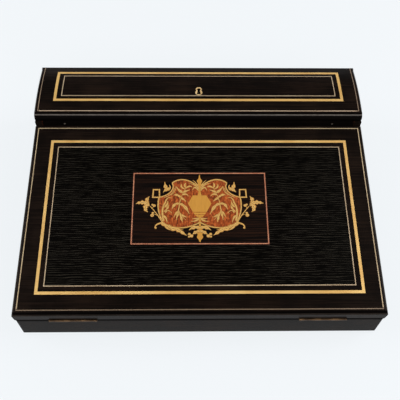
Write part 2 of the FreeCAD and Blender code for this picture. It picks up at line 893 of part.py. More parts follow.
def escutcheon():
    """Brass keyhole plate, flush in the top of the lid."""
    plate = escutcheon_outline(z_lid, z_high).common(top_skin)
    return plate.cut(keyhole(z_lid, z_high)).removeSplitter()


def lock_block(z0, z1):
    return box(-lock_w / 2, lock_w / 2, bolt_rest_y, bolt_rest_y + lock_d, z0, z1)


def bolt_channel():
    half = bolt_w / 2 + bolt_gap
    end = bolt_rest_y + bolt_len + bolt_gap
    return box(-half, half, bolt_rest_y - 1, end, z_bolt - bolt_gap, z_bolt + bolt_h + bolt_gap)


def lock_screws():
    """Four screws through the lock's flanges into the lid."""
    x = lock_w / 2 - lock_flange / 2
    y_mid = bolt_rest_y + lock_d / 2
    y = lock_d / 2 - lock_flange / 2
    z = z_lid - lock_flange_t
    places = [Vector(i * x, y_mid + j * y, z) for i in (-1, 1) for j in (-1, 1)]
    return Part.makeCompound([screw(place, (0, 0, 1)) for place in places])


def lock_case():
    """A box with a flange at each end, a channel for the bolt and a way in for the key."""
    half = lock_w / 2 - lock_flange
    body = box(-half, half, bolt_rest_y, bolt_rest_y + lock_d, z_lock, z_lid)
    case = body.fuse(lock_block(z_lid - lock_flange_t, z_lid)).removeSplitter()
    return case.cut(bolt_channel()).cut(keyhole(z_bolt + bolt_h, z_lid + 1)).cut(lock_screws())


def lock_bolt():
    """The bolt, drawn back flush with the lock's face, with a notch for the key."""
    half = bolt_w / 2
    bolt = box(-half, half, bolt_rest_y, bolt_rest_y + bolt_len, z_bolt, z_bolt + bolt_h)
    notch = box(-key_foot / 2, key_foot / 2, y_key_front, y_key_back, z_bolt + bolt_h / 2, z_bolt + bolt_h)
    return bolt.cut(notch)


def back_lining():
    m = paper_margin
    paper = box(-x_in + m, x_in - m, y_part_back + swing_gap, y_bay_back - m, z_lid, z_lid + paper_t)
    return paper.cut(lock_block(z_lid, z_lid + paper_t))


def back_lid_board():
    board = lid_blank_back.cut(back_edge_ring()).cut(back_band_ring()).cut(back_inner_ring())
    board = board.cut(escutcheon_outline(z_lid, z_high).common(top_skin)).cut(keyhole(z_lid - 1, z_high))
    board = board.cut(back_lining()).cut(lock_screws())
    return board.cut(back_hinges["lid_room"]).cut(back_hinges["lid_screws"])


# ---- drawer
drawer_x1 = x_out
drawer_x0 = drawer_x1 - drawer_len
drawer_y0 = y_part_back + run_gap
drawer_y1 = y_bay_back - run_gap
drawer_z0 = z_floor + drawer_under_gap
drawer_z1 = z_bay_top - drawer_top_gap
x_front_back = drawer_x1 - drawer_front_t


def tails(y0, y1):
    """Dovetails on the front end of a drawer side, seen from above they fill its thickness."""
    z_mid = (drawer_z0 + drawer_bottom_t + drawer_z1) / 2
    quarter = (drawer_z1 - drawer_z0 - drawer_bottom_t) / 4
    pieces = []
    for z in (z_mid - quarter, z_mid + quarter):
        half = tail_w / 2
        root = half - tail_flare
        outline = [(x_front_back, z - root), (x_front_back + tail_depth, z - half),
                   (x_front_back + tail_depth, z + half), (x_front_back, z + root)]
        pieces.append(face([(x, y0, zz) for x, zz in outline]).extrude(Vector(0, y1 - y0, 0)))
    return pieces


def drawer_side(y0, y1):
    side = box(drawer_x0, x_front_back, y0, y1, drawer_z0 + drawer_bottom_t, drawer_z1)
    for tail in tails(y0, y1):
        side = side.fuse(tail)
    return side.removeSplitter()


def drawer_side_front():
    return drawer_side(drawer_y0, drawer_y0 + drawer_side_t)


def drawer_side_rear():
    return drawer_side(drawer_y1 - drawer_side_t, drawer_y1)


y_knob = (drawer_y0 + drawer_y1) / 2
z_knob = (drawer_z0 + drawer_z1) / 2


def drawer_knob():
    """A turned brass knob on a round rose, with its screw through the drawer front."""
    neck_end, widest, shoulder = [share * knob_len for share in knob_swell]
    profile = [(screw_r, -drawer_front_t), (screw_r, 0), (rose_r, 0), (rose_r, rose_t), (knob_neck_r, rose_t),
               (knob_neck_r, neck_end), (knob_r, widest), (knob_r, shoulder), (knob_end_r, knob_len)]
    return along(turned(profile, turned_sides), (drawer_x1, y_knob, z_knob), (1, 0, 0))


def drawer_front():
    front = box(x_front_back, drawer_x1, drawer_y0, drawer_y1, drawer_z0, drawer_z1)
    for side in (drawer_side_front(), drawer_side_rear()):
        front = front.cut(side)
    return front.cut(drawer_knob())


def drawer_back():
    y0 = drawer_y0 + drawer_side_t
    y1 = drawer_y1 - drawer_side_t
    return box(drawer_x0, drawer_x0 + drawer_side_t, y0, y1, drawer_z0 + drawer_bottom_t, drawer_z1)


def drawer_bottom():
    return box(drawer_x0, x_front_back, drawer_y0, drawer_y1, drawer_z0, drawer_z0 + drawer_bottom_t)


def drawer_lining():
    y0 = drawer_y0 + drawer_side_t + paper_margin
    y1 = drawer_y1 - drawer_side_t - paper_margin
    z = drawer_z0 + drawer_bottom_t
    x0 = drawer_x0 + drawer_side_t + paper_margin
    return box(x0, x_front_back - paper_margin, y0, y1, z, z + paper_t)


def drawer_stop():
    """A strip glued to the floor of the bay, just behind the closed drawer."""
    x1 = drawer_x0 - lid_gap
    return box(x1 - stop_t, x1, y_part_back, y_bay_back, z_floor, z_floor + stop_h)


# ---- every sub-part by name
pieces = {
    "case_front": case_front(),
    "case_back": case_back(),
    "case_side_left": case_side_left(),
    "case_side_right": case_side_right(),
    "case_bottom": case_bottom(),
    "base_felt": base_felt(),
    "ink_partition": ink_partition(),
    "partition_pins": partition_pins(),
    "well_lining": well_lining(),
    "ink_floor": ink_floor(),
    "cell_wall_left": cell_wall_left(),
    "cell_wall_right": cell_wall_right(),
    "pen_tray": pen_tray(),
    "inkwell_left_glass": inkwell_glass(-cell_x),
    "inkwell_right_glass": inkwell_glass(cell_x),
    "inkwell_left_cap": inkwell_cap(-cell_x),
    "inkwell_right_cap": inkwell_cap(cell_x),
    "drawer_stop": drawer_stop(),
    "lock_strike": lock_strike(),
    "strike_screws": strike_screws(),
    "front_hinge_case_leaves": front_hinges["case_leaf"],
    "front_hinge_pins": front_hinges["pin"],
    "front_hinge_case_screws": front_hinges["case_screws"],
    "back_hinge_case_leaves": back_hinges["case_leaf"],
    "back_hinge_pins": back_hinges["pin"],
    "back_hinge_case_screws": back_hinges["case_screws"],
    "slope_lid_board": slope_lid_board(),
    "slope_field": on_slope(field_block()),
    "slope_edge_line": slope_stringing(edge_line_in, edge_line_w),
    "slope_band": slope_stringing(band_in, band_w),
    "slope_inner_line": slope_stringing(inner_line_in, inner_line_w),
    "tablet_frame_line": tablet_frame(),
    "tablet_ground": on_slope(tablet_block().cut(ornament).cut(lobes)),
    "cartouche_burl": on_slope(burl),
    "cartouche_ornament": on_slope(ornament),
    "slope_lining": on_slope(slope_lining_sheet()),
    "front_hinge_lid_leaves": front_hinges["lid_leaf"],
    "front_hinge_lid_screws": front_hinges["lid_screws"],
    "back_lid_board": back_lid_board(),
    "back_edge_line": back_edge_ring(),
    "back_band": mitred(back_band_ring(), line_x - band_in, *back_band_ends),
    "back_inner_line": mitred(back_inner_ring(), line_x - inner_line_in, *back_inner_ends),
    "escutcheon": escutcheon(),
    "back_lining": back_lining(),
    "lock_case": lock_case(),
    "lock_screws": lock_screws(),
    "back_hinge_lid_leaves": back_hinges["lid_leaf"],
    "back_hinge_lid_screws": back_hinges["lid_screws"],
    "lock_bolt": lock_bolt(),
    "drawer_front": drawer_front(),
    "drawer_side_front": drawer_side_front(),
    "drawer_side_rear": drawer_side_rear(),
    "drawer_back": drawer_back(),
    "drawer_bottom": drawer_bottom(),
    "drawer_lining": drawer_lining(),
    "drawer_knob": drawer_knob(),
}

for name, shape in pieces.items():
    shape.exportStep("parts/" + name + ".step")
    print(name, len(shape.Solids), round(shape.Volume, 1), shape.isValid())
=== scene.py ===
import math

import bpy
from mathutils import Matrix, Vector


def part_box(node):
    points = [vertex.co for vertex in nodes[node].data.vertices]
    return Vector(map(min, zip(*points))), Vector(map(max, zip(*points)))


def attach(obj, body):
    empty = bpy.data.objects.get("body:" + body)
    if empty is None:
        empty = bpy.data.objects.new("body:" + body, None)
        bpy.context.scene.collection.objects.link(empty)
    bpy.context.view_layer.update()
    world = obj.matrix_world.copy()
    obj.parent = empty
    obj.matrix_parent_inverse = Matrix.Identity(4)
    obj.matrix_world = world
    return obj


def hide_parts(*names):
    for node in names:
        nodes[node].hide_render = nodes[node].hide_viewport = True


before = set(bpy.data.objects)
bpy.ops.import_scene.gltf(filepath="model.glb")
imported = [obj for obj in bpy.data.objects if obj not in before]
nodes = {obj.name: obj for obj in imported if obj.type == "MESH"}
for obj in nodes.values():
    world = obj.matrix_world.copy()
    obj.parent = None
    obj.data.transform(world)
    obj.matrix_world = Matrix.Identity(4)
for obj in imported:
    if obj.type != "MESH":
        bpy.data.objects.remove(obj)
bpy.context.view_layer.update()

mm = 0.001

# ---- The viewpoint: a camera above and in front of the box, looking down on the slope.
# The lens and the place come from the straight inlaid lines of the two lids.
camera_place = Vector((-10.7, -364.6, 581.2)) * mm
camera_down = math.radians(56.68)
camera_yaw = math.radians(-1.86)
camera_roll = math.radians(1.46)
camera_lens = 53.33
film_width = 36.0
nearest_seen = 10 * mm
bpy.ops.object.select_all(action="DESELECT")
bpy.ops.object.camera_add(location=camera_place)
camera = bpy.context.object
camera.name = "viewpoint"
turn = Matrix.Rotation(camera_yaw, 4, "Z") @ Matrix.Rotation(math.pi / 2 - camera_down, 4, "X")
camera.matrix_world = Matrix.Translation(camera_place) @ turn @ Matrix.Rotation(camera_roll, 4, "Z")
camera.data.lens = camera_lens
camera.data.sensor_width = film_width
camera.data.clip_start = nearest_seen
bpy.context.scene.camera = camera
bpy.context.scene.view_settings.view_transform = "Standard"


# ---- The table: a wide pale sheet under the box, which keeps only a faint shadow.
# Its shader and all the others are put together with the two small classes below.
def srgb(red, green, blue):
    """A colour written in screen values from 0 to 255, as the shaders need it."""
    parts = [c / 255 for c in (red, green, blue)]
    return tuple(p / 12.92 if p <= 0.04045 else ((p + 0.055) / 1.055) ** 2.4 for p in parts) + (1.0,)


class Shade:
    """A value in a shader's node tree that can be reckoned with."""

    def __init__(self, finish, socket):
        self.finish = finish
        self.socket = socket

    def math(self, operation, first, second=0.0):
        return self.finish.node("Math", {"operation": operation}, {0: first, 1: second})

    def __add__(self, other):
        return self.math("ADD", self, other)

    __radd__ = __add__

    def __mul__(self, other):
        return self.math("MULTIPLY", self, other)

    __rmul__ = __mul__

    def __sub__(self, other):
        return self.math("SUBTRACT", self, other)

    def __rsub__(self, other):
        return self.math("SUBTRACT", other, self)

    def __abs__(self):
        return self.math("ABSOLUTE", self)

    def sine(self):
        return self.math("SINE", self)

    def between(self, low, high):
        """0 below low, 1 above high, and a soft step between them."""
        settings = {"interpolation_type": "SMOOTHSTEP"}
        values = {"Value": self, "From Min": low, "From Max": high}
        return self.finish.node("MapRange", settings, values)

    def within(self, low, high):
        """A value that runs from 0 to 1, made to run from low to high."""
        return self.finish.node("MapRange", None, {"Value": self, "To Min": low, "To Max": high})


class Finish:
    """A node tree for a material, or for the world, that node() fills."""

    def __init__(self, name, owner=None):
        self.owner = owner or bpy.data.materials.new(name)
        self.owner.use_nodes = True
        self.tree = self.owner.node_tree
        self.tree.nodes.clear()

    def node(self, kind, settings=None, values=None, out=0):
        """Adds a node: its settings first, then the values or links of its sockets."""
        made = self.tree.nodes.new("ShaderNode" + kind)
        for key, value in (settings or {}).items():
            setattr(made, key, value)
        for key, value in (values or {}).items():
            if isinstance(value, Shade):
                self.tree.links.new(value.socket, made.inputs[key])
            else:
                made.inputs[key].default_value = value
        return Shade(self, made.outputs[out]) if made.outputs else made

    def end(self, shader, kind="OutputMaterial"):
        self.node(kind, None, {"Surface": shader})
        return self.owner

    def place(self, scale=(1, 1, 1), turn_x=0.0):
        """Object coordinates, turned about X and scaled to the size of a pattern."""
        here = self.node("TexCoord", out="Object")
        return self.node("Mapping", {"vector_type": "POINT"},
                         {"Vector": here, "Rotation": (turn_x, 0, 0), "Scale": scale})

    def axis(self, index, turn_x=0.0):
        """One of the object coordinates by itself, in metres."""
        return self.node("SeparateXYZ", None, {0: self.place(turn_x=turn_x)}, index)

    def noise(self, where, scale=1.0, detail=3.0, rough=0.5, out="Fac"):
        """Cloudy noise; detail is its number of octaves and rough the share of the fine ones."""
        values = {"Vector": where, "Scale": scale, "Detail": detail, "Roughness": rough}
        return self.node("TexNoise", None, values, out)

    def shifted(self, where, amount, scale):
        """A place moved about by a slow noise, in the place's own units."""
        wander = self.noise(where, scale, 2.0, out="Color")
        centred = self.node("VectorMath", {"operation": "SUBTRACT"}, {0: wander, 1: (0.5, 0.5, 0.5)})
        scaled = self.node("VectorMath", {"operation": "SCALE"}, {0: centred, "Scale": amount})
        return self.node("VectorMath", {"operation": "ADD"}, {0: where, 1: scaled})

    def mix(self, amount, low, high):
        """A colour between two colours."""
        return self.node("Mix", {"data_type": "RGBA"}, {0: amount, 6: low, 7: high}, 2)

    def bump(self, height, distance):
        return self.node("Bump", None, {"Height": height, "Distance": distance})

    def looked_at(self):
        """1 where the camera sees a surface straight, in a mirror or through glass."""
        kinds = ("Is Camera Ray", "Is Glossy Ray", "Is Transmission Ray")
        straight, mirrored, through = [self.node("LightPath", out=kind) for kind in kinds]
        return self.node("Math", {"operation": "MINIMUM"}, {0: straight + mirrored + through, 1: 1.0})

    def surface(self, **values):
        """The material's own surface; a socket's name has _ for each space."""
        sockets = {key.replace("_", " "): value for key, value in values.items()}
        return self.end(self.node("BsdfPrincipled", None, sockets))


room_pale = srgb(243, 247, 250)
table_pale = srgb(244, 248, 251)
table_reach = 6.0
shadow_share = 0.12

bpy.ops.mesh.primitive_plane_add(size=table_reach, location=(0, 0, 0))
table = bpy.context.object
table.name = "table"
look = Finish("table sheet")
lit = look.node("BsdfDiffuse", None, {"Color": table_pale})
plain = look.node("Emission", None, {"Color": room_pale, "Strength": 1.0})
shown = look.node("MixShader", None, {0: look.looked_at() * (1 - shadow_share), 1: lit, 2: plain})
table.data.materials.append(look.end(shown))

# ---- The room: pale walls all round, and a dark ceiling.
# The ceiling is what keeps the polished top deep, as a black screen over a real one would.
room_dark = srgb(70, 71, 74)
room = bpy.data.worlds.new("room")
bpy.context.scene.world = room
look = Finish("room", room)
up = look.node("SeparateXYZ", None, {0: look.node("TexCoord", out="Generated")}, 2)
walls_end = 0.34
ceiling_begins = 0.62
around = look.mix(up.between(walls_end, ceiling_begins), room_pale, room_dark)
look.end(look.node("Background", None, {"Color": around}), "OutputWorld")


# ---- The lamps: a wide soft box to each side and a low one in front.
# Their mirror images lie outside the polished top as it is seen from the viewpoint.
lamp_aim = Vector((0, 0, 40)) * mm


def soft_box(name, place, size, watts):
    """A rectangular lamp that points at the middle of the box."""
    bpy.ops.object.light_add(type="AREA", location=place)
    lamp = bpy.context.object
    lamp.name = name
    lamp.data.shape = "RECTANGLE"
    lamp.data.size, lamp.data.size_y = size
    lamp.data.energy = watts
    lamp.rotation_euler = (lamp_aim - Vector(place)).to_track_quat("-Z", "Y").to_euler()


soft_box("lamp right", place=(1.25, 0.1, 1.0), size=(0.9, 1.2), watts=16.0)
soft_box("lamp left", place=(-1.25, 0.1, 1.0), size=(0.9, 1.2), watts=12.0)
soft_box("lamp front", place=(0.1, -1.4, 1.2), size=(1.4, 0.4), watts=10.0)

# ---- The case: four boards with mitred corners, veneered black outside and french polished.
# Inside they are plain polished mahogany, which shows as soon as a lid is open.
black = srgb(14, 10, 8)
black_warm = srgb(34, 24, 18)
# a near-black matt coat that paints shade into seams, under edges and on the riser
shade_black = srgb(5, 4, 4)
# pale: real wear on the pegs, but a painted highlight on the lids' ends, front edge and nose
pale_wear_and_sheen = srgb(132, 124, 116)
mahogany = srgb(104, 50, 32)
mahogany_dark = srgb(66, 29, 19)
edge_round = 0.5 * mm
edge_angle = math.radians(32)
weld_reach = 0.005 * mm
sharp_step = 0.05 * mm


def crisp(node, width=edge_round):
    """Takes the sharpness off a CAD board's edges, so that they catch the light."""
    weld = node.modifiers.new("weld", "WELD")
    weld.merge_threshold = weld_reach
    bevel = node.modifiers.new("soft edges", "BEVEL")
    bevel.width = width
    bevel.segments = 2
    bevel.limit_method = "ANGLE"
    bevel.angle_limit = edge_angle
    bevel.use_clamp_overlap = True
    node.modifiers.new("even light", "WEIGHTED_NORMAL")
    for face in node.data.polygons:
        face.use_smooth = True


def finish(names, material):
    """Gives CAD nodes a material."""
    for name in names:
        nodes[name].data.materials.clear()
        nodes[name].data.materials.append(material)


def grain(look, length, spacing, wander=0.35, turn_x=0.0, along_y=False):
    """Wood grain along X, or along Y, with streaks of that length and spacing."""
    scale = (1 / spacing, 1 / length, 1 / spacing) if along_y else (1 / length, 1 / spacing, 1 / spacing)
    where = look.place(scale, turn_x)
    return look.noise(look.shifted(where, wander, 0.35), 1.0, 4.0, 0.6)


def ebonised(name, inside=None, gloss=0.05, rough=(0.18, 0.36), painted_shade=None, wear_and_sheen=None):
    """Black polished veneer. The last three tell where it has something else on the surface.

    inside is where the wood is bare mahogany; the next tells where shade is painted as a near-black matt
    coat, in seams and under edges, and the last where edges are painted pale as highlights.
    """
    look = Finish(name)
    fine = grain(look, 45 * mm, 0.9 * mm)
    cloud = look.noise(look.place(), 28.0, 3.0)
    colour = look.mix((fine * 0.6 + cloud * 0.4).between(0.4, 0.72), black, black_warm)
    if inside:
        share = inside(look)
        streak = grain(look, 70 * mm, 1.6 * mm)
        colour = look.mix(share, colour, look.mix(streak.between(0.3, 0.7), mahogany_dark, mahogany))
    # painted highlight: the edges that the last argument gives are coloured pale
    if wear_and_sheen:
        patches = look.noise(look.place(), 140.0, 3.0, 0.7)
        colour = look.mix(wear_and_sheen(look) * patches.within(0.2, 0.9), colour, pale_wear_and_sheen)
    values = {"Base Color": colour, "Roughness": (cloud * 0.5 + fine * 0.5).within(*rough),
              "Normal": look.bump(fine, 0.02 * mm), "Specular IOR Level": gloss}
    polish = look.node("BsdfPrincipled", None, values)
    # painted shade: the near-black matt coat is mixed in where the mask says
    if painted_shade:
        painted_dark = look.node("BsdfDiffuse", None, {"Color": shade_black})
        polish = look.node("MixShader", None, {0: painted_shade(look), 1: polish, 2: painted_dark})
    return look.end(polish)


def past(axis, limit, sign=1.0):
    """Where a coordinate is past a limit: above it with sign 1, below it with sign -1."""
    return lambda look: (look.axis(axis) * sign).between(limit * sign, limit * sign + sharp_step)


def inside_walls(limit):
    """Where it is nearer to the middle of the box than the limit, to the left or right."""
    return lambda look: 1 - abs(look.axis(0)).between(limit, limit + sharp_step)


wall_t = 8.0 * mm
shy = 0.1 * mm
side_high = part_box("case_side_right")[1]
front_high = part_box("case_front")[1]
back_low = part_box("case_back")[0]
riser_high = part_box("ink_partition")[1]
shade_low = front_high.z - 8 * mm
shade_high = shade_low + 4.5 * mm
# Painted shade: a dark band on the case's front under the slope's overhang, and a dark seam under the slope.
seam_shade = 0.9
riser_shade = 0.8


def under_slope_edge(look):
    """The top of the case's front, below the slope's edge, painted dark as the shadow under its overhang."""
    return look.axis(2).between(shade_low, shade_high) * seam_shade


sides_black = ebonised("ebonised sides", inside_walls(side_high.x - wall_t + shy), 0.03)
front_black = ebonised("ebonised front", past(1, front_high.y - shy), 0.02, painted_shade=under_slope_edge)
back_black = ebonised("ebonised back", past(1, back_low.y + shy, -1.0), 0.03)
# The riser is painted nearly black all over, as the shade under the back lid's nose.
riser_black = ebonised("ebonised riser", past(1, riser_high.y - shy), 0.02, painted_shade=lambda look: riser_shade)
finish(["case_side_left", "case_side_right"], sides_black)
finish(["case_front"], front_black)
finish(["case_back"], back_black)
finish(["ink_partition"], riser_black)
for name in ("case_side_left", "case_side_right", "case_front", "case_back", "ink_partition"):
    crisp(nodes[name])

# ---- The two round pins in the riser: the blackened ends of the pegs that hold the ink compartment.
# They stand a little proud and are rubbed pale in spots.
look = Finish("blackened pegs")
wear_and_sheen = look.noise(look.place(), 900.0, 2.0)
pegs_black = look.surface(Base_Color=look.mix(wear_and_sheen.between(0.45, 0.7), black_warm, pale_wear_and_sheen),
                          Roughness=wear_and_sheen.within(0.2, 0.4))
finish(["partition_pins"], pegs_black)

# ---- The bottom board and the felt under it: plain mahogany, and green baize with a short fuzzy pile.
# The baize is glued on a couple of millimetres inside the edges.
def bare(name, dark, light, along_y=False, rough=(0.35, 0.55)):
    """Plain polished wood, with its streaks along X or along Y."""
    look = Finish(name)
    streak = grain(look, 70 * mm, 1.5 * mm, along_y=along_y)
    pores = grain(look, 6 * mm, 0.35 * mm, 0.1, along_y=along_y)
    colour = look.mix((streak * 0.75 + pores * 0.25).between(0.3, 0.7), dark, light)
    return look.surface(Base_Color=colour, Roughness=streak.within(*rough),
                        Normal=look.bump(pores, 0.03 * mm))


inner_wood = bare("polished mahogany", mahogany_dark, mahogany)
finish(["case_bottom", "ink_floor", "pen_tray"], inner_wood)
felt_dark = srgb(28, 52, 34)
felt_light = srgb(48, 82, 54)
look = Finish("green baize")
fuzz = look.noise(look.place(), 1600.0, 4.0, 0.7)
patchy = look.noise(look.place(), 60.0, 3.0)
baize = look.surface(Base_Color=look.mix(fuzz * 0.6 + patchy * 0.4, felt_dark, felt_light), Roughness=0.95,
                     Normal=look.bump(fuzz, 0.3 * mm), Sheen_Weight=0.4, Sheen_Roughness=0.5)
felt_low, felt_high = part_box("base_felt")
bpy.ops.object.select_all(action="DESELECT")
bpy.ops.mesh.primitive_grid_add(x_subdivisions=60, y_subdivisions=48, size=1)
felt = bpy.context.object
felt.name = "base_baize"
felt_size = felt_high - felt_low
felt_t = 0.6 * mm
felt_lift = 0.15 * mm
felt_wave = 0.12 * mm
ripple_x = 190
ripple_y = 230
for vertex in felt.data.vertices:
    x, y = vertex.co.x * felt_size.x, vertex.co.y * felt_size.y
    ripple = felt_wave * math.sin(x * ripple_x) * math.sin(y * ripple_y)
    vertex.co = Vector((x, y, felt_low.z + felt_lift + ripple))
thick = felt.modifiers.new("thickness", "SOLIDIFY")
thick.thickness = felt_t
thick.offset = 1.0
bpy.ops.object.modifier_apply(modifier=thick.name)
felt.data.materials.append(baize)
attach(felt, "case")
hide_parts("base_felt")

# ---- The boards of the two lids: black polished wood, the slope's bevelled and the back one with a nose.
# Their ends, front edges and nose are painted pale as highlights, and painted shade lies in the seams beside
# them and under the nose.
slope = math.radians(8.0)
slope_low, slope_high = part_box("slope_lid_board")
lid_low, lid_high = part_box("back_lid_board")
slope_points = [vertex.co for vertex in nodes["slope_lid_board"].data.vertices]
front_edge_z = max(point.z for point in slope_points if point.y < slope_low.y + shy)
slope_top = max(point.z * math.cos(slope) - point.y * math.sin(slope) for point in slope_points)
slope_rim = slope_top - 1.4 * mm
back_rim = lid_low.z + 6.8 * mm
rim_low = front_edge_z - 0.8 * mm
seam_low = slope_low.z + 0.6 * mm
seam_high = slope_low.z + 2.2 * mm
# Painted highlight: the thin strip along the back lid's nose.
sheen_low = lid_low.z + 5.6 * mm
sheen_high = lid_low.z + 6.5 * mm
sheen_back = lid_low.y + 4.5 * mm
nose_top = lid_low.z + 7.3 * mm
end_reach = 0.9 * mm
front_reach = 1.1 * mm
line_reach = 3.4 * mm
nose_reach = 5.9 * mm
fine_fade = 0.3 * mm
rim_fade = 0.4 * mm
wide_fade = 0.5 * mm
# how dark the painted shade under the back lid's nose is
nose_shade = 0.85
# how strongly the painted highlights on the lids' ends and the slope's front are mixed in
slope_end_sheen = 0.4
slope_front_sheen = 0.08
back_end_sheen = 0.6
nose_sheen = 0.75


def front_rim(look):
    """The outermost millimetre of the slope's front edge."""
    near = 1 - look.axis(1).between(slope_low.y + front_reach, slope_low.y + front_reach + rim_fade)
    return near * look.axis(2).between(rim_low, rim_low + rim_fade)


def before_line(look):
    """The strip before the front line, painted dark for the bevel's black reflection, and painted shade in
    the seam below.
    """
    above = look.axis(2).between(front_edge_z + sharp_step, front_edge_z + 3 * sharp_step)
    near = 1 - look.axis(1).between(slope_low.y + line_reach, slope_low.y + line_reach + wide_fade)
    # painted dark strip on the bevel, and painted shade along the seam
    dark = above * near * (1 - front_rim(look))
    seam = 1 - look.axis(2).between(seam_low, seam_high)
    return dark * seam_shade + seam * seam_shade


def nose_highlight(look):
    """The thin strip along the nose, painted pale as its highlight."""
    height = look.axis(2)
    above = height.between(sheen_low, sheen_low + fine_fade)
    level = above * (1 - height.between(sheen_high, sheen_high + fine_fade))
    return level * (1 - look.axis(1).between(sheen_back, sheen_back + wide_fade))


def under_nose(look):
    """The rounded nose below its top, painted dark as shade, all but the thin strip painted as its highlight.
    """
    low = 1 - look.axis(2).between(nose_top, nose_top + rim_fade)
    near = 1 - look.axis(1).between(lid_low.y + nose_reach, lid_low.y + nose_reach + wide_fade)
    return low * near * nose_shade * (1 - nose_highlight(look))


def ends(look, half_width, height, turn_x=0.0):
    """The upper edges at the two ends of a lid, painted pale as highlights."""
    edge = half_width - end_reach
    outside = abs(look.axis(0)).between(edge, edge + fine_fade)
    return outside * look.axis(2, turn_x).between(height, height + fine_fade)


def slope_sheen(look):
    """Painted highlights on the slope's two ends, and very slightly on its front."""
    return ends(look, slope_high.x, slope_rim, -slope) * slope_end_sheen + front_rim(look) * slope_front_sheen


def back_sheen(look):
    """Painted highlights on the back lid's two ends and along its nose."""
    return ends(look, lid_high.x, back_rim) * back_end_sheen + nose_highlight(look) * nose_sheen


lid_round = 0.4 * mm
# Painted shade at the slope's front and under the back lid's nose; painted highlights on the lids' edges.
slope_black = ebonised("ebonised slope borders", gloss=0.04, painted_shade=before_line, wear_and_sheen=slope_sheen)
lid_black = ebonised("ebonised back lid", gloss=0.1, rough=(0.1, 0.22), painted_shade=under_nose, wear_and_sheen=back_sheen)
finish(["slope_lid_board"], slope_black)
finish(["back_lid_board"], lid_black)
crisp(nodes["slope_lid_board"], lid_round)
crisp(nodes["back_lid_board"], lid_round)

# ---- The slope's field: open-grained veneer, blackened and waxed, with a coarse wavy ripple.
# The ripples run across the slope, about two millimetres apart; their crests carry a painted glint, a paler
# colour in patches, besides their bump.
ridge_step = 2.3 * mm
look = Finish("open grained field")
wobble = look.noise(look.place((1 / (34 * mm), 1 / (11 * mm), 1), -slope), 1.0, 3.0)
breaks = look.noise(look.place((1 / (16 * mm), 1 / (2.2 * mm), 1), -slope), 1.0, 4.0, 0.65)
ridges = (look.axis(1, -slope) * (2 * math.pi / ridge_step) + wobble * 15.0).sine()
crest = ridges.between(0.35, 1.0) * breaks.between(0.36, 0.62)
patchy = look.noise(look.place(), 14.0, 2.0)
pores = grain(look, 7 * mm, 0.5 * mm, 0.2, -slope)
field_dark = srgb(3, 2, 1)
field_glint = srgb(54, 49, 41)
# painted glint: the crests are coloured paler in patches; the pores are a little paler as grain
lit_share = crest * patchy.within(0.3, 1.0) + pores.between(0.5, 0.8) * 0.12
colour = look.mix(lit_share, field_dark, field_glint)
field_black = look.surface(Base_Color=colour, Roughness=pores.within(0.3, 0.5), Specular_IOR_Level=0.035,
                           Normal=look.bump(crest * 0.8 + pores * 0.2, 0.25 * mm))
finish(["slope_field"], field_black)


# ---- The inlaid lines of both lids: broad bands and fine stringing in pale polished wood and brass.
# They are let in flush and mitred at the corners, and the outermost ones have gone dull where hands rub.
def inlaid(name, dark, light, rough=(0.35, 0.5), metallic=0.0, wear_and_sheen=None):
    """Inlay of one material; worn tells where it has gone dull."""
    look = Finish(name)
    streak = grain(look, 30 * mm, 0.7 * mm)
    cloud = look.noise(look.place(), 45.0, 3.0)
    colour = look.mix((streak * 0.5 + cloud * 0.5).between(0.3, 0.7), dark, light)
    if wear_and_sheen:
        colour = look.mix(wear_and_sheen(look) * cloud.within(0.7, 1.0), colour, line_worn)
    return look.surface(Base_Color=colour, Roughness=cloud.within(*rough), Metallic=metallic,
                        Normal=look.bump(streak, 0.02 * mm))


line_worn = srgb(112, 92, 74)
dull_reach = 2 * mm
dull_fade = 0.2 * mm
band_pale = inlaid("brass band", srgb(220, 168, 92), srgb(240, 198, 122), metallic=0.3)
line_pale = inlaid("fine stringing", srgb(172, 146, 114), srgb(204, 180, 148), metallic=0.2)
edge_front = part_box("slope_edge_line")[0].y + dull_reach
edge_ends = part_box("back_edge_line")[1].x - dull_reach
line_slope = inlaid("slope edge stringing", srgb(172, 146, 112), srgb(204, 180, 144), metallic=0.2,
                    wear_and_sheen=past(1, edge_front, -1.0))
line_back = inlaid("back edge stringing", srgb(182, 154, 126), srgb(214, 188, 160), metallic=0.1,
                   wear_and_sheen=lambda look: abs(look.axis(0)).between(edge_ends, edge_ends + dull_fade))
finish(["slope_band", "back_band"], band_pale)
finish(["slope_inner_line", "back_inner_line"], line_pale)
finish(["slope_edge_line"], line_slope)
finish(["back_edge_line"], line_back)

# ---- The red line round the tablet: tulipwood, pale along its middle and dark where the glue line is.
# Its two long and two short pieces meet in mitres.
red_w = 1.7 * mm
red_low, red_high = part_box("tablet_frame_line")
red_x = (red_high.x - red_low.x) / 2 - red_w / 2
red_t = 1.0 * mm
red_length = (red_high.y - red_low.y - red_t * math.sin(slope)) / math.cos(slope)
tulip_red = srgb(178, 112, 80)
tulip_pale = srgb(208, 146, 108)
glue_dark = srgb(84, 34, 24)
pale_half = 0.12 * mm
dark_half = 0.65 * mm
red_y = red_low.y + red_length / 2 * math.cos(slope)
look = Finish("tulipwood line")
aside = abs(look.axis(0)) - red_x
along = abs(look.axis(1) - red_y) - (red_length - red_w) / 2 * math.cos(slope)
off_middle = abs(aside.math("MAXIMUM", aside, along))
cloud = look.noise(look.place(), 120.0, 3.0)
colour = look.mix(cloud.between(0.3, 0.7), tulip_red, tulip_pale)
colour = look.mix(off_middle.between(pale_half, dark_half), colour, glue_dark)
finish(["tablet_frame_line"], look.surface(Base_Color=colour, Roughness=cloud.within(0.35, 0.5)))

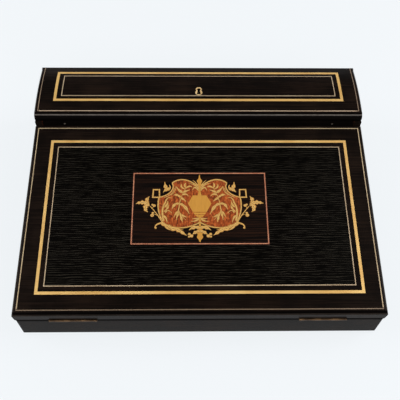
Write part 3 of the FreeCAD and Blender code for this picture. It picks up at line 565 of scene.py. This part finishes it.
# ---- The tablet: a smooth plate of brownish ebony, let into the field inside the red line.
# Its fine straight grain runs along the box, and it carries the marquetry below.
plate_t = 1.0 * mm
ebony = srgb(11, 8, 7)
ebony_brown = srgb(40, 23, 15)
look = Finish("ebony plate")
streak = grain(look, 60 * mm, 1.1 * mm, 0.2, -slope)
colour = look.mix(streak.between(0.42, 0.66), ebony, ebony_brown)
ebony_plate = look.surface(Base_Color=colour, Roughness=streak.within(0.28, 0.45),
                           Normal=look.bump(streak, 0.015 * mm), Specular_IOR_Level=0.06)


def on_slope(node, thick):
    """Width and length of a flat CAD node that lies in the slope, and what lays a drawing on its top."""
    low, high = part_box(node)
    length = (high.y - low.y - thick * math.sin(slope)) / math.cos(slope)
    middle = Vector(((low.x + high.x) / 2, low.y + length / 2 * math.cos(slope),
                     high.z - length / 2 * math.sin(slope)))
    return high.x - low.x, length, Matrix.Translation(middle) @ Matrix.Rotation(slope, 4, "X")


plate_w, plate_l, on_tablet = on_slope("tablet_ground", plate_t)


def lay(piece, name, node, material, thick, place=on_tablet):
    """Gives a flat drawing its thickness, lays it in the slope and lets it stand for a CAD node."""
    bpy.context.view_layer.objects.active = piece
    depth = piece.modifiers.new("thickness", "SOLIDIFY")
    depth.thickness = thick
    depth.offset = -1.0
    bpy.ops.object.modifier_apply(modifier=depth.name)
    piece.data.transform(place)
    piece.name = name
    piece.data.materials.clear()
    piece.data.materials.append(material)
    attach(piece, "slope_lid")
    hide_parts(node)


bpy.ops.object.select_all(action="DESELECT")
bpy.ops.mesh.primitive_grid_add(x_subdivisions=28, y_subdivisions=16, size=1)
plate = bpy.context.object
plate.data.transform(Matrix.Diagonal((plate_w, plate_l, 1, 1)))
lay(plate, "tablet_plate", "tablet_ground", ebony_plate, plate_t)

# ---- The two lobes of the cartouche: reddish burl, cut to a fretted outline and glued on the ebony.
# The burl's figure runs up the slope in wavy flames.
curve_steps = 12


def outline(corners):
    """A flat shape from (x, y, kind) corners in millimetres.

    The side runs smoothly through a corner of kind s, and turns sharply at one of kind c.
    """
    bpy.ops.object.select_all(action="DESELECT")
    bpy.ops.curve.primitive_bezier_circle_add()
    drawn = bpy.context.object
    drawn.data.dimensions = "2D"
    drawn.data.fill_mode = "BOTH"
    drawn.data.resolution_u = curve_steps
    side = drawn.data.splines[0]
    side.bezier_points.add(len(corners) - len(side.bezier_points))
    for point, (x, y, kind) in zip(side.bezier_points, corners):
        point.co = Vector((x, y, 0)) * mm
        point.handle_left_type = point.handle_right_type = "AUTO" if kind == "s" else "VECTOR"
    bpy.ops.object.convert(target="MESH")
    return bpy.context.object


def doubled(half):
    """A right-hand half and its mirror image."""
    bpy.context.view_layer.objects.active = half
    mirror = half.modifiers.new("other half", "MIRROR")
    mirror.use_mirror_merge = False
    bpy.ops.object.modifier_apply(modifier=mirror.name)
    return half


burl_red = srgb(150, 68, 28)
burl_deep = srgb(92, 40, 16)
burl_glow = srgb(190, 98, 44)
look = Finish("figured burl")
flame_place = look.place((1 / (1.5 * mm), 1 / (5 * mm), 1 / (5 * mm)), -slope)
flames = look.noise(look.shifted(flame_place, 1.6, 0.7), 1.0, 4.0, 0.6)
eyes = look.noise(look.place(), 420.0, 3.0, 0.6)
body = look.mix(flames.between(0.36, 0.52), burl_deep, burl_red)
colour = look.mix((flames * 0.4 + eyes * 0.6).between(0.5, 0.62), body, burl_glow)
burl = look.surface(Base_Color=colour, Roughness=eyes.within(0.35, 0.5),
                    Normal=look.bump(flames, 0.02 * mm), Specular_IOR_Level=0.2)
burl_t = 0.4 * mm
burl_proud = 0.05 * mm
lobe = outline([(0.6, 24.0, "c"), (8.0, 30.0, "s"), (17.0, 32.2, "s"), (28.6, 28.8, "c"),
                (27.6, 25.5, "c"), (32.0, 17.0, "s"), (42.2, 11.8, "c"), (42.5, -2.6, "s"),
                (37.4, -16.6, "s"), (20.0, -22.6, "s"), (0.6, -16.0, "c")])
lobe.data.transform(Matrix.Translation((0, 0, burl_proud)))
lay(doubled(lobe), "burl_lobes", "cartouche_burl", burl, burl_t)

# ---- The gold marquetry: strapwork, an urn and leafage sawn from thin pale wood and laid over the burl.
# Each strip is cut by itself, shaded with hot sand along its edges and engraved with veins.
strips = []
strip_t = 0.3 * mm
strip_low = 0.09 * mm
strip_step = 0.003 * mm


def strip(start, middle, end, half_width, runs=14):
    """A strip that bends from start through middle to end, in millimetres on the tablet.

    half_width gives half its width at each share of its length, and each strip lies a hair above the last.
    """
    bpy.ops.object.select_all(action="DESELECT")
    bpy.ops.mesh.primitive_grid_add(x_subdivisions=runs, y_subdivisions=4, size=1)
    cut = bpy.context.object
    first, centre, last = Vector(start), Vector(middle), Vector(end)
    pull = centre * 2 - (first + last) / 2
    level = strip_low + strip_step * len(strips)
    for vertex in cut.data.vertices:
        share, side = vertex.co.x + 0.5, vertex.co.y * 2
        place = first * (1 - share) ** 2 + pull * (2 * share * (1 - share)) + last * share ** 2
        way = ((pull - first) * (1 - share) + (last - pull) * share).normalized()
        place = (place + Vector((-way.y, way.x)) * side * half_width(share)) * mm
        vertex.co = (place.x, place.y, level)
    strips.append(cut)


def strap(start, middle, end, width):
    """A strip of one width."""
    strip(start, middle, end, lambda share: width / 2)


def stalk(start, middle, end, width, thin=0.4):
    """A strap that tapers."""
    strip(start, middle, end, lambda share: width / 2 * (1 - (1 - thin) * share))


def leaf(start, middle, end, width, teeth=0):
    """A pointed leaf, with lobes along its edge if it has teeth."""
    def half_width(share):
        belly = math.sin(math.pi * share ** 0.8) ** 0.8 if 0 < share < 1 else 0
        return width / 2 * belly * (1 + 0.3 * math.sin(2 * math.pi * teeth * share)) + 0.06
    strip(start, middle, end, half_width, 10 + 7 * teeth)


def berry(x, y, radius):
    """A round berry."""
    strip((x - radius, y), (x, y), (x + radius, y),
          lambda share: radius * math.sqrt(max(0.0, 1 - (2 * share - 1) ** 2)) + 0.02)


def joined():
    """All the strips so far as one piece."""
    bpy.ops.object.select_all(action="DESELECT")
    for cut in strips:
        cut.select_set(True)
    bpy.context.view_layer.objects.active = strips[0]
    bpy.ops.object.join()
    strips.clear()
    return bpy.context.object


# foliage inside the lobe
stalk((22.0, -4.0), (19.5, 11.0), (13.6, 24.0), 1.2)
stalk((22.4, -4.0), (21.4, 1.0), (20.6, 5.0), 1.6)
leaf((21.0, 4.4), (15.6, 1.0), (10.8, -7.6), 3.6, 2)
leaf((21.0, 4.4), (26.0, 3.4), (29.0, -2.4), 3.0, 2)
stalk((22.0, -3.0), (19.0, -9.0), (14.0, -14.4), 1.0)
leaf((19.6, -7.6), (16.6, -9.6), (13.0, -11.0), 2.0, 1)
leaf((20.2, -6.0), (19.2, -11.4), (17.6, -16.8), 2.6, 2)
leaf((21.4, -5.0), (23.2, -9.0), (24.0, -14.4), 2.3, 1)
leaf((22.0, -4.4), (24.8, -7.0), (27.0, -11.4), 2.2, 1)
leaf((20.0, 11.0), (17.0, 9.6), (14.0, 6.6), 2.4, 1)
leaf((19.8, 11.4), (23.4, 14.4), (27.6, 14.2), 2.8, 2)
leaf((17.4, 17.4), (14.0, 19.2), (9.8, 20.6), 2.4, 1)
leaf((17.4, 17.4), (21.2, 19.8), (24.8, 24.8), 2.8, 1)
leaf((18.4, 14.4), (14.6, 15.4), (11.4, 12.8), 2.2, 1)
leaf((15.0, 22.0), (10.8, 24.6), (7.8, 23.4), 2.2)
leaf((14.4, 22.8), (15.6, 26.0), (14.2, 29.0), 2.2)
leaf((15.4, 21.4), (19.0, 24.0), (19.0, 27.8), 2.0)
# the tall scroll along the lobe's outer side
stalk((37.2, -15.0), (38.6, -3.0), (35.6, 6.0), 2.4, 0.8)
stalk((35.9, 5.2), (33.4, 10.8), (28.4, 10.8), 2.1, 0.2)
leaf((36.8, 0.0), (33.8, 4.0), (33.4, 8.0), 2.2, 1)
leaf((37.2, -5.0), (33.8, -1.0), (32.2, 3.6), 2.2, 2)
stalk((35.6, -6.0), (32.6, -3.4), (29.0, -6.4), 1.2, 0.6)
leaf((38.4, -9.0), (35.0, -11.8), (33.6, -17.4), 2.2, 1)
# strokes at the neck
stalk((25.0, 24.4), (26.4, 18.4), (30.6, 14.2), 0.8, 0.8)
stalk((26.6, 22.8), (29.4, 16.2), (37.0, 11.6), 0.9, 0.8)
# strapwork round the lobe
strap((1.0, 24.0), (15.6, 32.3), (28.8, 28.8), 1.6)
strap((28.6, 29.4), (28.5, 27.4), (27.7, 25.2), 1.5)
strap((27.6, 25.5), (31.6, 16.8), (42.4, 11.8), 1.4)
strap((42.4, 11.6), (42.8, -2.6), (37.8, -16.8), 1.6)
strap((37.6, -17.0), (20.0, -22.8), (0.0, -16.8), 1.5)
# the open square on the shoulder
strap((41.0, 11.9), (45.4, 11.8), (49.9, 11.9), 1.6)
strap((41.9, 11.4), (42.1, 16.0), (42.3, 21.4), 1.6)
strap((41.6, 20.7), (45.4, 20.7), (49.2, 20.7), 1.6)
strap((49.0, 11.2), (48.8, 16.0), (48.5, 21.4), 1.6)
# the leafy scroll under the lobe
stalk((36.0, -17.6), (43.4, -18.6), (46.0, -23.2), 2.2, 0.6)
berry(45.3, -22.8, 1.1)
leaf((40.5, -16.4), (33.0, -21.0), (24.0, -22.6), 4.4, 2)
leaf((33.0, -19.8), (26.0, -24.2), (17.0, -25.0), 4.4, 3)
leaf((27.0, -22.0), (21.0, -26.0), (13.4, -31.4), 4.2, 3)
leaf((36.6, -19.0), (33.0, -23.4), (28.4, -25.6), 2.0, 1)
# the spray beside the lobe
stalk((38.6, -16.6), (44.4, -7.4), (51.6, 1.6), 1.3, 0.7)
leaf((52.2, 1.6), (55.4, 6.8), (52.4, 13.0), 5.0, 3)
leaf((52.4, 3.2), (59.0, 5.8), (66.6, 4.4), 4.8, 4)
leaf((52.6, 4.4), (56.4, -0.2), (53.8, -5.2), 4.8, 3)
stalk((47.2, -3.4), (48.8, -1.0), (48.0, 1.6), 0.8)
berry(47.4, 2.2, 1.7)
berry(49.2, 3.4, 1.1)
stalk((43.4, -9.2), (45.6, -8.0), (48.0, -8.0), 0.8)
berry(49.2, -8.8, 1.9)
berry(48.6, -6.2, 1.3)
# the sprig on the neck
leaf((31.0, 20.6), (35.4, 23.4), (36.6, 30.0), 4.0, 2)
leaf((30.4, 22.0), (34.6, 21.0), (38.4, 17.4), 3.6, 2)
leaf((31.4, 21.4), (31.0, 24.0), (32.2, 26.6), 1.4)
# the fan round the bud, and the lowest leaves
leaf((1.0, 21.6), (2.8, 27.0), (7.4, 32.2), 1.2)
leaf((1.0, 20.4), (4.8, 25.6), (11.6, 28.4), 1.3)
leaf((1.0, 18.8), (5.0, 23.2), (7.6, 19.4), 1.9)
leaf((0.6, -12.0), (4.4, -15.0), (9.8, -15.6), 1.9, 1)
leaf((0.6, -11.4), (4.6, -12.6), (8.0, -12.2), 1.4)
leaf((0.0, -23.4), (5.6, -22.2), (11.4, -25.6), 4.2, 2)
leaf((0.0, -26.2), (4.2, -27.6), (7.6, -30.2), 3.4, 2)
berry(8.6, -31.8, 1.9)
berry(10.9, -29.8, 1.5)
berry(11.2, -32.6, 1.1)
leafage = doubled(joined())


def bud(share):
    """Half the width of the top bud, full low down and pointed at its tip."""
    swell = math.sin(math.pi * min(1, share * 1.5)) ** 2
    return (1.3 + 2.2 * swell) * math.sqrt(max(0, 1 - share)) + 0.05


# the urn with its foot and stalk, the top bud and the pendant leaf, which stand across the middle
strip((0, 14.0), (0, 4.6), (0, -5.0), lambda share: 7.2 + 5.0 * (1 - abs(2 * share - 1)))
strip((0, -5.6), (0, -6.7), (0, -7.8), lambda share: 6.8 - 1.4 * share)
strip((0, -8.3), (0, -9.4), (0, -10.6), lambda share: 5.2 - 2.6 * share)
strip((0, 28.0), (0, 20.0), (0, 13.0), lambda share: 1.5 + 0.5 * math.cos(2 * math.pi * share))
strip((0, -10.2), (0, -17.0), (0, -24.0), lambda share: 1.1)
strip((0, 27.4), (0, 33.0), (0, 38.7), bud)
leaf((0, -20.4), (0, -28.6), (0, -38.8), 7.0, 3)
urn = joined()
gold = srgb(214, 164, 78)
gold_deep = srgb(174, 118, 50)
gold_pale = srgb(232, 190, 116)
kerf = srgb(88, 52, 26)
look = Finish("gold marquetry")
across = abs(look.node("SeparateXYZ", None, {0: look.node("TexCoord", out="UV")}, 1) - 0.5)
cloud = look.noise(look.place(), 130.0, 3.0)
streak = grain(look, 12 * mm, 0.5 * mm, 0.2, -slope)
colour = look.mix(streak * 0.5 + cloud * 0.5, gold, gold_pale)
colour = look.mix(across.between(0.12, 0.42) * cloud.within(0.7, 1.1), colour, gold_deep)
colour = look.mix(1 - across.between(0.02, 0.07) * (1 - across.between(0.44, 0.47)), colour, kerf)
gold_wood = look.surface(Base_Color=colour, Roughness=cloud.within(0.35, 0.5),
                         Normal=look.bump(streak, 0.02 * mm))
urn_gold = srgb(212, 156, 64)
urn_deep = srgb(170, 108, 36)
look = Finish("gold urn")
cloud = look.noise(look.place(), 130.0, 3.0)
streak = grain(look, 1.2 * mm, 9 * mm, 0.2, -slope)
colour = look.mix(streak.within(0.2, 0.95), urn_deep, urn_gold)
urn_wood = look.surface(Base_Color=colour, Roughness=cloud.within(0.35, 0.5),
                        Normal=look.bump(streak, 0.02 * mm))
lay(leafage, "marquetry_leafage", "cartouche_ornament", gold_wood, strip_t)
lay(urn, "marquetry_urn", "cartouche_ornament", urn_wood, strip_t)

# ---- The velvet under the slope: one piece of plum cotton velvet, glued into its own shallow bed.
# It is the lining that shows when the slope is open, and its pile is pressed and rubbed in places.
velvet_t = 0.7 * mm
velvet_bed_t = 0.8 * mm
velvet_wave = 0.04 * mm
wave_x = 150
wave_y = 210
slant_x = 40
slant_y = 60
velvet_deep = srgb(42, 10, 26)
velvet_plum = srgb(76, 28, 48)
look = Finish("plum velvet")
pile = look.noise(look.place(), 2600.0, 3.0, 0.7)
pressed = look.noise(look.shifted(look.place(), 0.02, 30.0), 22.0, 4.0, 0.55)
colour = look.mix(pressed.between(0.3, 0.7) * 0.7 + pile * 0.3, velvet_deep, velvet_plum)
velvet = look.surface(Base_Color=colour, Roughness=0.9,
                      Normal=look.bump(pile * 0.7 + pressed * 0.3, 0.4 * mm),
                      Sheen_Weight=0.6, Sheen_Roughness=0.35, Specular_IOR_Level=0.1)
velvet_w, velvet_l, under_lid = on_slope("slope_lining", velvet_bed_t)
bpy.ops.object.select_all(action="DESELECT")
bpy.ops.mesh.primitive_grid_add(x_subdivisions=96, y_subdivisions=54, size=1)
lining = bpy.context.object
lining.data.transform(Matrix.Diagonal((velvet_w, velvet_l, 1, 1)))
for vertex in lining.data.vertices:
    x, y = vertex.co.x, vertex.co.y
    vertex.co.z -= velvet_wave * (1 + math.sin(x * wave_x + y * slant_y) * math.sin(y * wave_y - x * slant_x))
lay(lining, "writing_velvet", "slope_lining", velvet, velvet_t, under_lid)

# ---- The lining papers: dark red marbled paper, pasted into the well, the back lid and the drawer.
# The colours were floated on a bath and combed, so the veins curl round one another.
paper_red = srgb(116, 42, 38)
paper_dark = srgb(58, 26, 32)
vein_cream = srgb(176, 138, 104)
vein_blue = srgb(52, 62, 84)
look = Finish("marbled paper")
swirl = look.shifted(look.place(), 0.02, 45.0)
stones = look.noise(swirl, 80.0, 2.0, 0.5)
veins = abs(look.noise(swirl, 52.0, 2.0, 0.5) - 0.5)
colour = look.mix(stones.between(0.42, 0.58), paper_dark, paper_red)
colour = look.mix((1 - veins.between(0.004, 0.016)) * 0.8, colour, vein_cream)
colour = look.mix(stones.between(0.64, 0.67), colour, vein_blue)
paper = look.surface(Base_Color=colour, Roughness=stones.within(0.55, 0.75),
                     Normal=look.bump(stones, 0.04 * mm))
finish(["well_lining", "back_lining", "drawer_lining"], paper)

# ---- The ink compartment: two cell walls and a hollowed pen tray of polished mahogany.
# The walls are slipped in, so their grain runs from front to back.
across_wood = bare("polished mahogany across", mahogany_dark, mahogany, True)
inner_round = 0.3 * mm
finish(["cell_wall_left", "cell_wall_right", "drawer_stop"], across_wood)
for name in ("ink_floor", "cell_wall_left", "cell_wall_right", "pen_tray", "case_bottom", "drawer_stop"):
    crisp(nodes[name], inner_round)

# ---- The two inkwells: square bottles of cut and polished glass, stained by old ink low down.
# Their brass caps are turned, and plug the necks.
ink_stain = srgb(24, 26, 44)
glass_clear = srgb(226, 238, 234)
look = Finish("cut glass")
well_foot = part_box("inkwell_left_glass")[0].z
stain_full = well_foot + 8 * mm
stain_end = well_foot + 14 * mm
stain_wander = 6 * mm
dried = look.noise(look.place(), 180.0, 4.0, 0.6)
depth = 1 - (look.axis(2) + dried * stain_wander).between(stain_full, stain_end)
glass = look.surface(Base_Color=look.mix(depth * 0.85, glass_clear, ink_stain), Transmission_Weight=1.0,
                     IOR=1.5, Roughness=dried.within(0.0, 0.08))
glass_round = 0.4 * mm
finish(["inkwell_left_glass", "inkwell_right_glass"], glass)
for name in ("inkwell_left_glass", "inkwell_right_glass"):
    crisp(nodes[name], glass_round)


# ---- The hinges: two pairs of narrow butts, let in flush and gone brown where no hand rubs them.
# Their knuckles are filed round and turn on a brass wire.
def brass(name, wear_and_sheen, dull, metallic=1.0, rough=(0.3, 0.5)):
    """Brass that is worn bright in places and dull in others."""
    look = Finish(name)
    cloud = look.noise(look.place(), 110.0, 3.0, 0.5)
    fine = look.noise(look.place(), 2200.0, 2.0)
    colour = look.mix(cloud.between(0.3, 0.7), dull, wear_and_sheen)
    return look.surface(Base_Color=colour, Metallic=metallic,
                        Roughness=(cloud * 0.6 + fine * 0.4).within(*rough),
                        Normal=look.bump(fine, 0.01 * mm))


hinge_brass = brass("aged hinge brass", srgb(104, 80, 56), srgb(58, 44, 33))
hinge_nodes = ["front_hinge_case_leaves", "front_hinge_lid_leaves", "front_hinge_pins",
               "back_hinge_case_leaves", "back_hinge_lid_leaves", "back_hinge_pins"]
hinge_round = 0.1 * mm
finish(hinge_nodes, hinge_brass)
for name in hinge_nodes:
    crisp(nodes[name], hinge_round)

# ---- Escutcheon, lock, knob and caps: brass that is handled, and so kept brighter; the escutcheon's paler, less metallic colour is also painted sheen, in place of its bright reflection.
# The bolt is filed steel, drawn back by the key.
# painted sheen: the escutcheon's brass is paler and less metallic than the lock's
plate_brass_sheen = brass("rubbed plate brass", srgb(238, 206, 148), srgb(204, 164, 106), 0.3, (0.4, 0.55))
finish(["escutcheon"], plate_brass_sheen)
lock_brass = brass("satin lock brass", srgb(208, 172, 106), srgb(150, 114, 62), 1.0, (0.25, 0.42))
lock_nodes = ["lock_case", "lock_strike", "drawer_knob", "inkwell_left_cap", "inkwell_right_cap"]
finish(lock_nodes, lock_brass)
steel_light = srgb(150, 149, 146)
steel_dark = srgb(84, 80, 76)
look = Finish("filed steel")
filing = grain(look, 9 * mm, 0.18 * mm, 0.1)
spots = look.noise(look.place(), 420.0, 3.0)
colour = look.mix(filing * 0.6 + spots * 0.4, steel_dark, steel_light)
bolt_steel = look.surface(Base_Color=colour, Metallic=1.0, Roughness=filing.within(0.3, 0.5),
                          Normal=look.bump(filing, 0.02 * mm))
finish(["lock_bolt"], bolt_steel)
lock_round = 0.2 * mm
plate_round = 0.12 * mm
for name in lock_nodes + ["lock_bolt"]:
    crisp(nodes[name], lock_round)
crisp(nodes["escutcheon"], plate_round)

# ---- The screws: brass, countersunk, with hand-filed slots that each stop at their own angle.
# One is made and all the others are copies of it.
head_r = 1.65 * mm
head_h = 0.9 * mm
shank_r = 0.9 * mm
screw_l = 5.4 * mm
slot_w = 0.45 * mm
slot_deep = 0.4 * mm
screw_apart = 8 * mm
first_slot = 0.4
slot_turn = 1.9
bpy.ops.object.select_all(action="DESELECT")
bpy.ops.mesh.primitive_cylinder_add(vertices=28, radius=head_r, depth=head_h, location=(0, 0, head_h / 2))
pattern = bpy.context.object
pattern.data.transform(Matrix.Translation((0, 0, head_h / 2)))
pattern.location = (0, 0, 0)
for vertex in pattern.data.vertices:
    if vertex.co.z > head_h / 2:
        vertex.co.x *= shank_r / head_r
        vertex.co.y *= shank_r / head_r
for polygon in pattern.data.polygons:
    polygon.select = polygon.normal.z > 0.9
bpy.ops.object.mode_set(mode="EDIT")
bpy.ops.mesh.select_mode(type="FACE")
bpy.ops.mesh.extrude_region_move(TRANSFORM_OT_translate={"value": (0, 0, screw_l - head_h)})
bpy.ops.object.mode_set(mode="OBJECT")
bpy.ops.mesh.primitive_cube_add(size=1)
file_cut = bpy.context.object
file_cut.data.transform(Matrix.Diagonal((4 * head_r, slot_w, 2 * slot_deep, 1)))
slot_cut = pattern.modifiers.new("slot", "BOOLEAN")
slot_cut.object = file_cut
slot_cut.operation = "DIFFERENCE"
slot_cut.solver = "EXACT"
bpy.context.view_layer.objects.active = pattern
bpy.ops.object.modifier_apply(modifier=slot_cut.name)
bpy.data.objects.remove(file_cut)


def head_places(node, way):
    """The middle of each screw head's face, found from the corners of the CAD screws."""
    groups = []
    for vertex in nodes[node].data.vertices:
        near = [group for group in groups if (group[0] - vertex.co).length < screw_apart]
        if near:
            near[0].append(vertex.co)
        else:
            groups.append([vertex.co])
    for group in groups:
        top = min(co.dot(way) for co in group)
        rim = [co for co in group if co.dot(way) < top + sharp_step]
        yield Vector([(min(co[i] for co in rim) + max(co[i] for co in rim)) / 2 for i in range(3)])


def drive(node, body, way, material):
    """Screws in the places of a CAD node's, their points along way."""
    way = Vector(way)
    made = []
    for count, place in enumerate(head_places(node, way)):
        one = pattern.copy()
        one.data = pattern.data.copy()
        bpy.context.collection.objects.link(one)
        slot_angle = first_slot + slot_turn * count
        turn = way.to_track_quat("Z", "Y").to_matrix().to_4x4() @ Matrix.Rotation(slot_angle, 4, "Z")
        one.data.transform(Matrix.Translation(place) @ turn)
        made.append(one)
    bpy.ops.object.select_all(action="DESELECT")
    for one in made:
        one.select_set(True)
    bpy.context.view_layer.objects.active = made[0]
    bpy.ops.object.join()
    set_of_screws = bpy.context.object
    set_of_screws.name = node.replace("screws", "slotted_screws")
    set_of_screws.data.materials.append(material)
    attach(set_of_screws, body)
    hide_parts(node)


into_case = Vector((0, math.sin(slope), -math.cos(slope)))
drive("front_hinge_case_screws", "case", into_case, hinge_brass)
drive("front_hinge_lid_screws", "slope_lid", -into_case, hinge_brass)
drive("back_hinge_case_screws", "case", (0, 0, -1), hinge_brass)
drive("back_hinge_lid_screws", "back_lid", (0, 0, 1), hinge_brass)
drive("lock_screws", "back_lid", (0, 0, 1), lock_brass)
drive("strike_screws", "case", (0, -1, 0), lock_brass)
bpy.data.objects.remove(pattern)

# ---- The drawer: an ebonised front on sides of waxed oak, dovetailed. It slides on the case's bottom.
# The oak's grain runs along the two sides, and across the drawer in its back and bottom.
oak = srgb(146, 100, 60)
oak_dark = srgb(104, 66, 38)
drawer_oak = bare("waxed oak", oak_dark, oak, False, (0.45, 0.65))
drawer_oak_across = bare("waxed oak across", oak_dark, oak, True, (0.45, 0.65))
drawer_front_t = 9.0 * mm
unblacked_t = 1.5 * mm
front_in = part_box("drawer_front")[1].x - drawer_front_t
drawer_black = ebonised("ebonised drawer front", past(0, front_in + unblacked_t, -1.0))
finish(["drawer_side_front", "drawer_side_rear"], drawer_oak)
finish(["drawer_back", "drawer_bottom"], drawer_oak_across)
finish(["drawer_front"], drawer_black)
for name in ("drawer_side_front", "drawer_side_rear", "drawer_back", "drawer_bottom", "drawer_front"):
    crisp(nodes[name], inner_round)
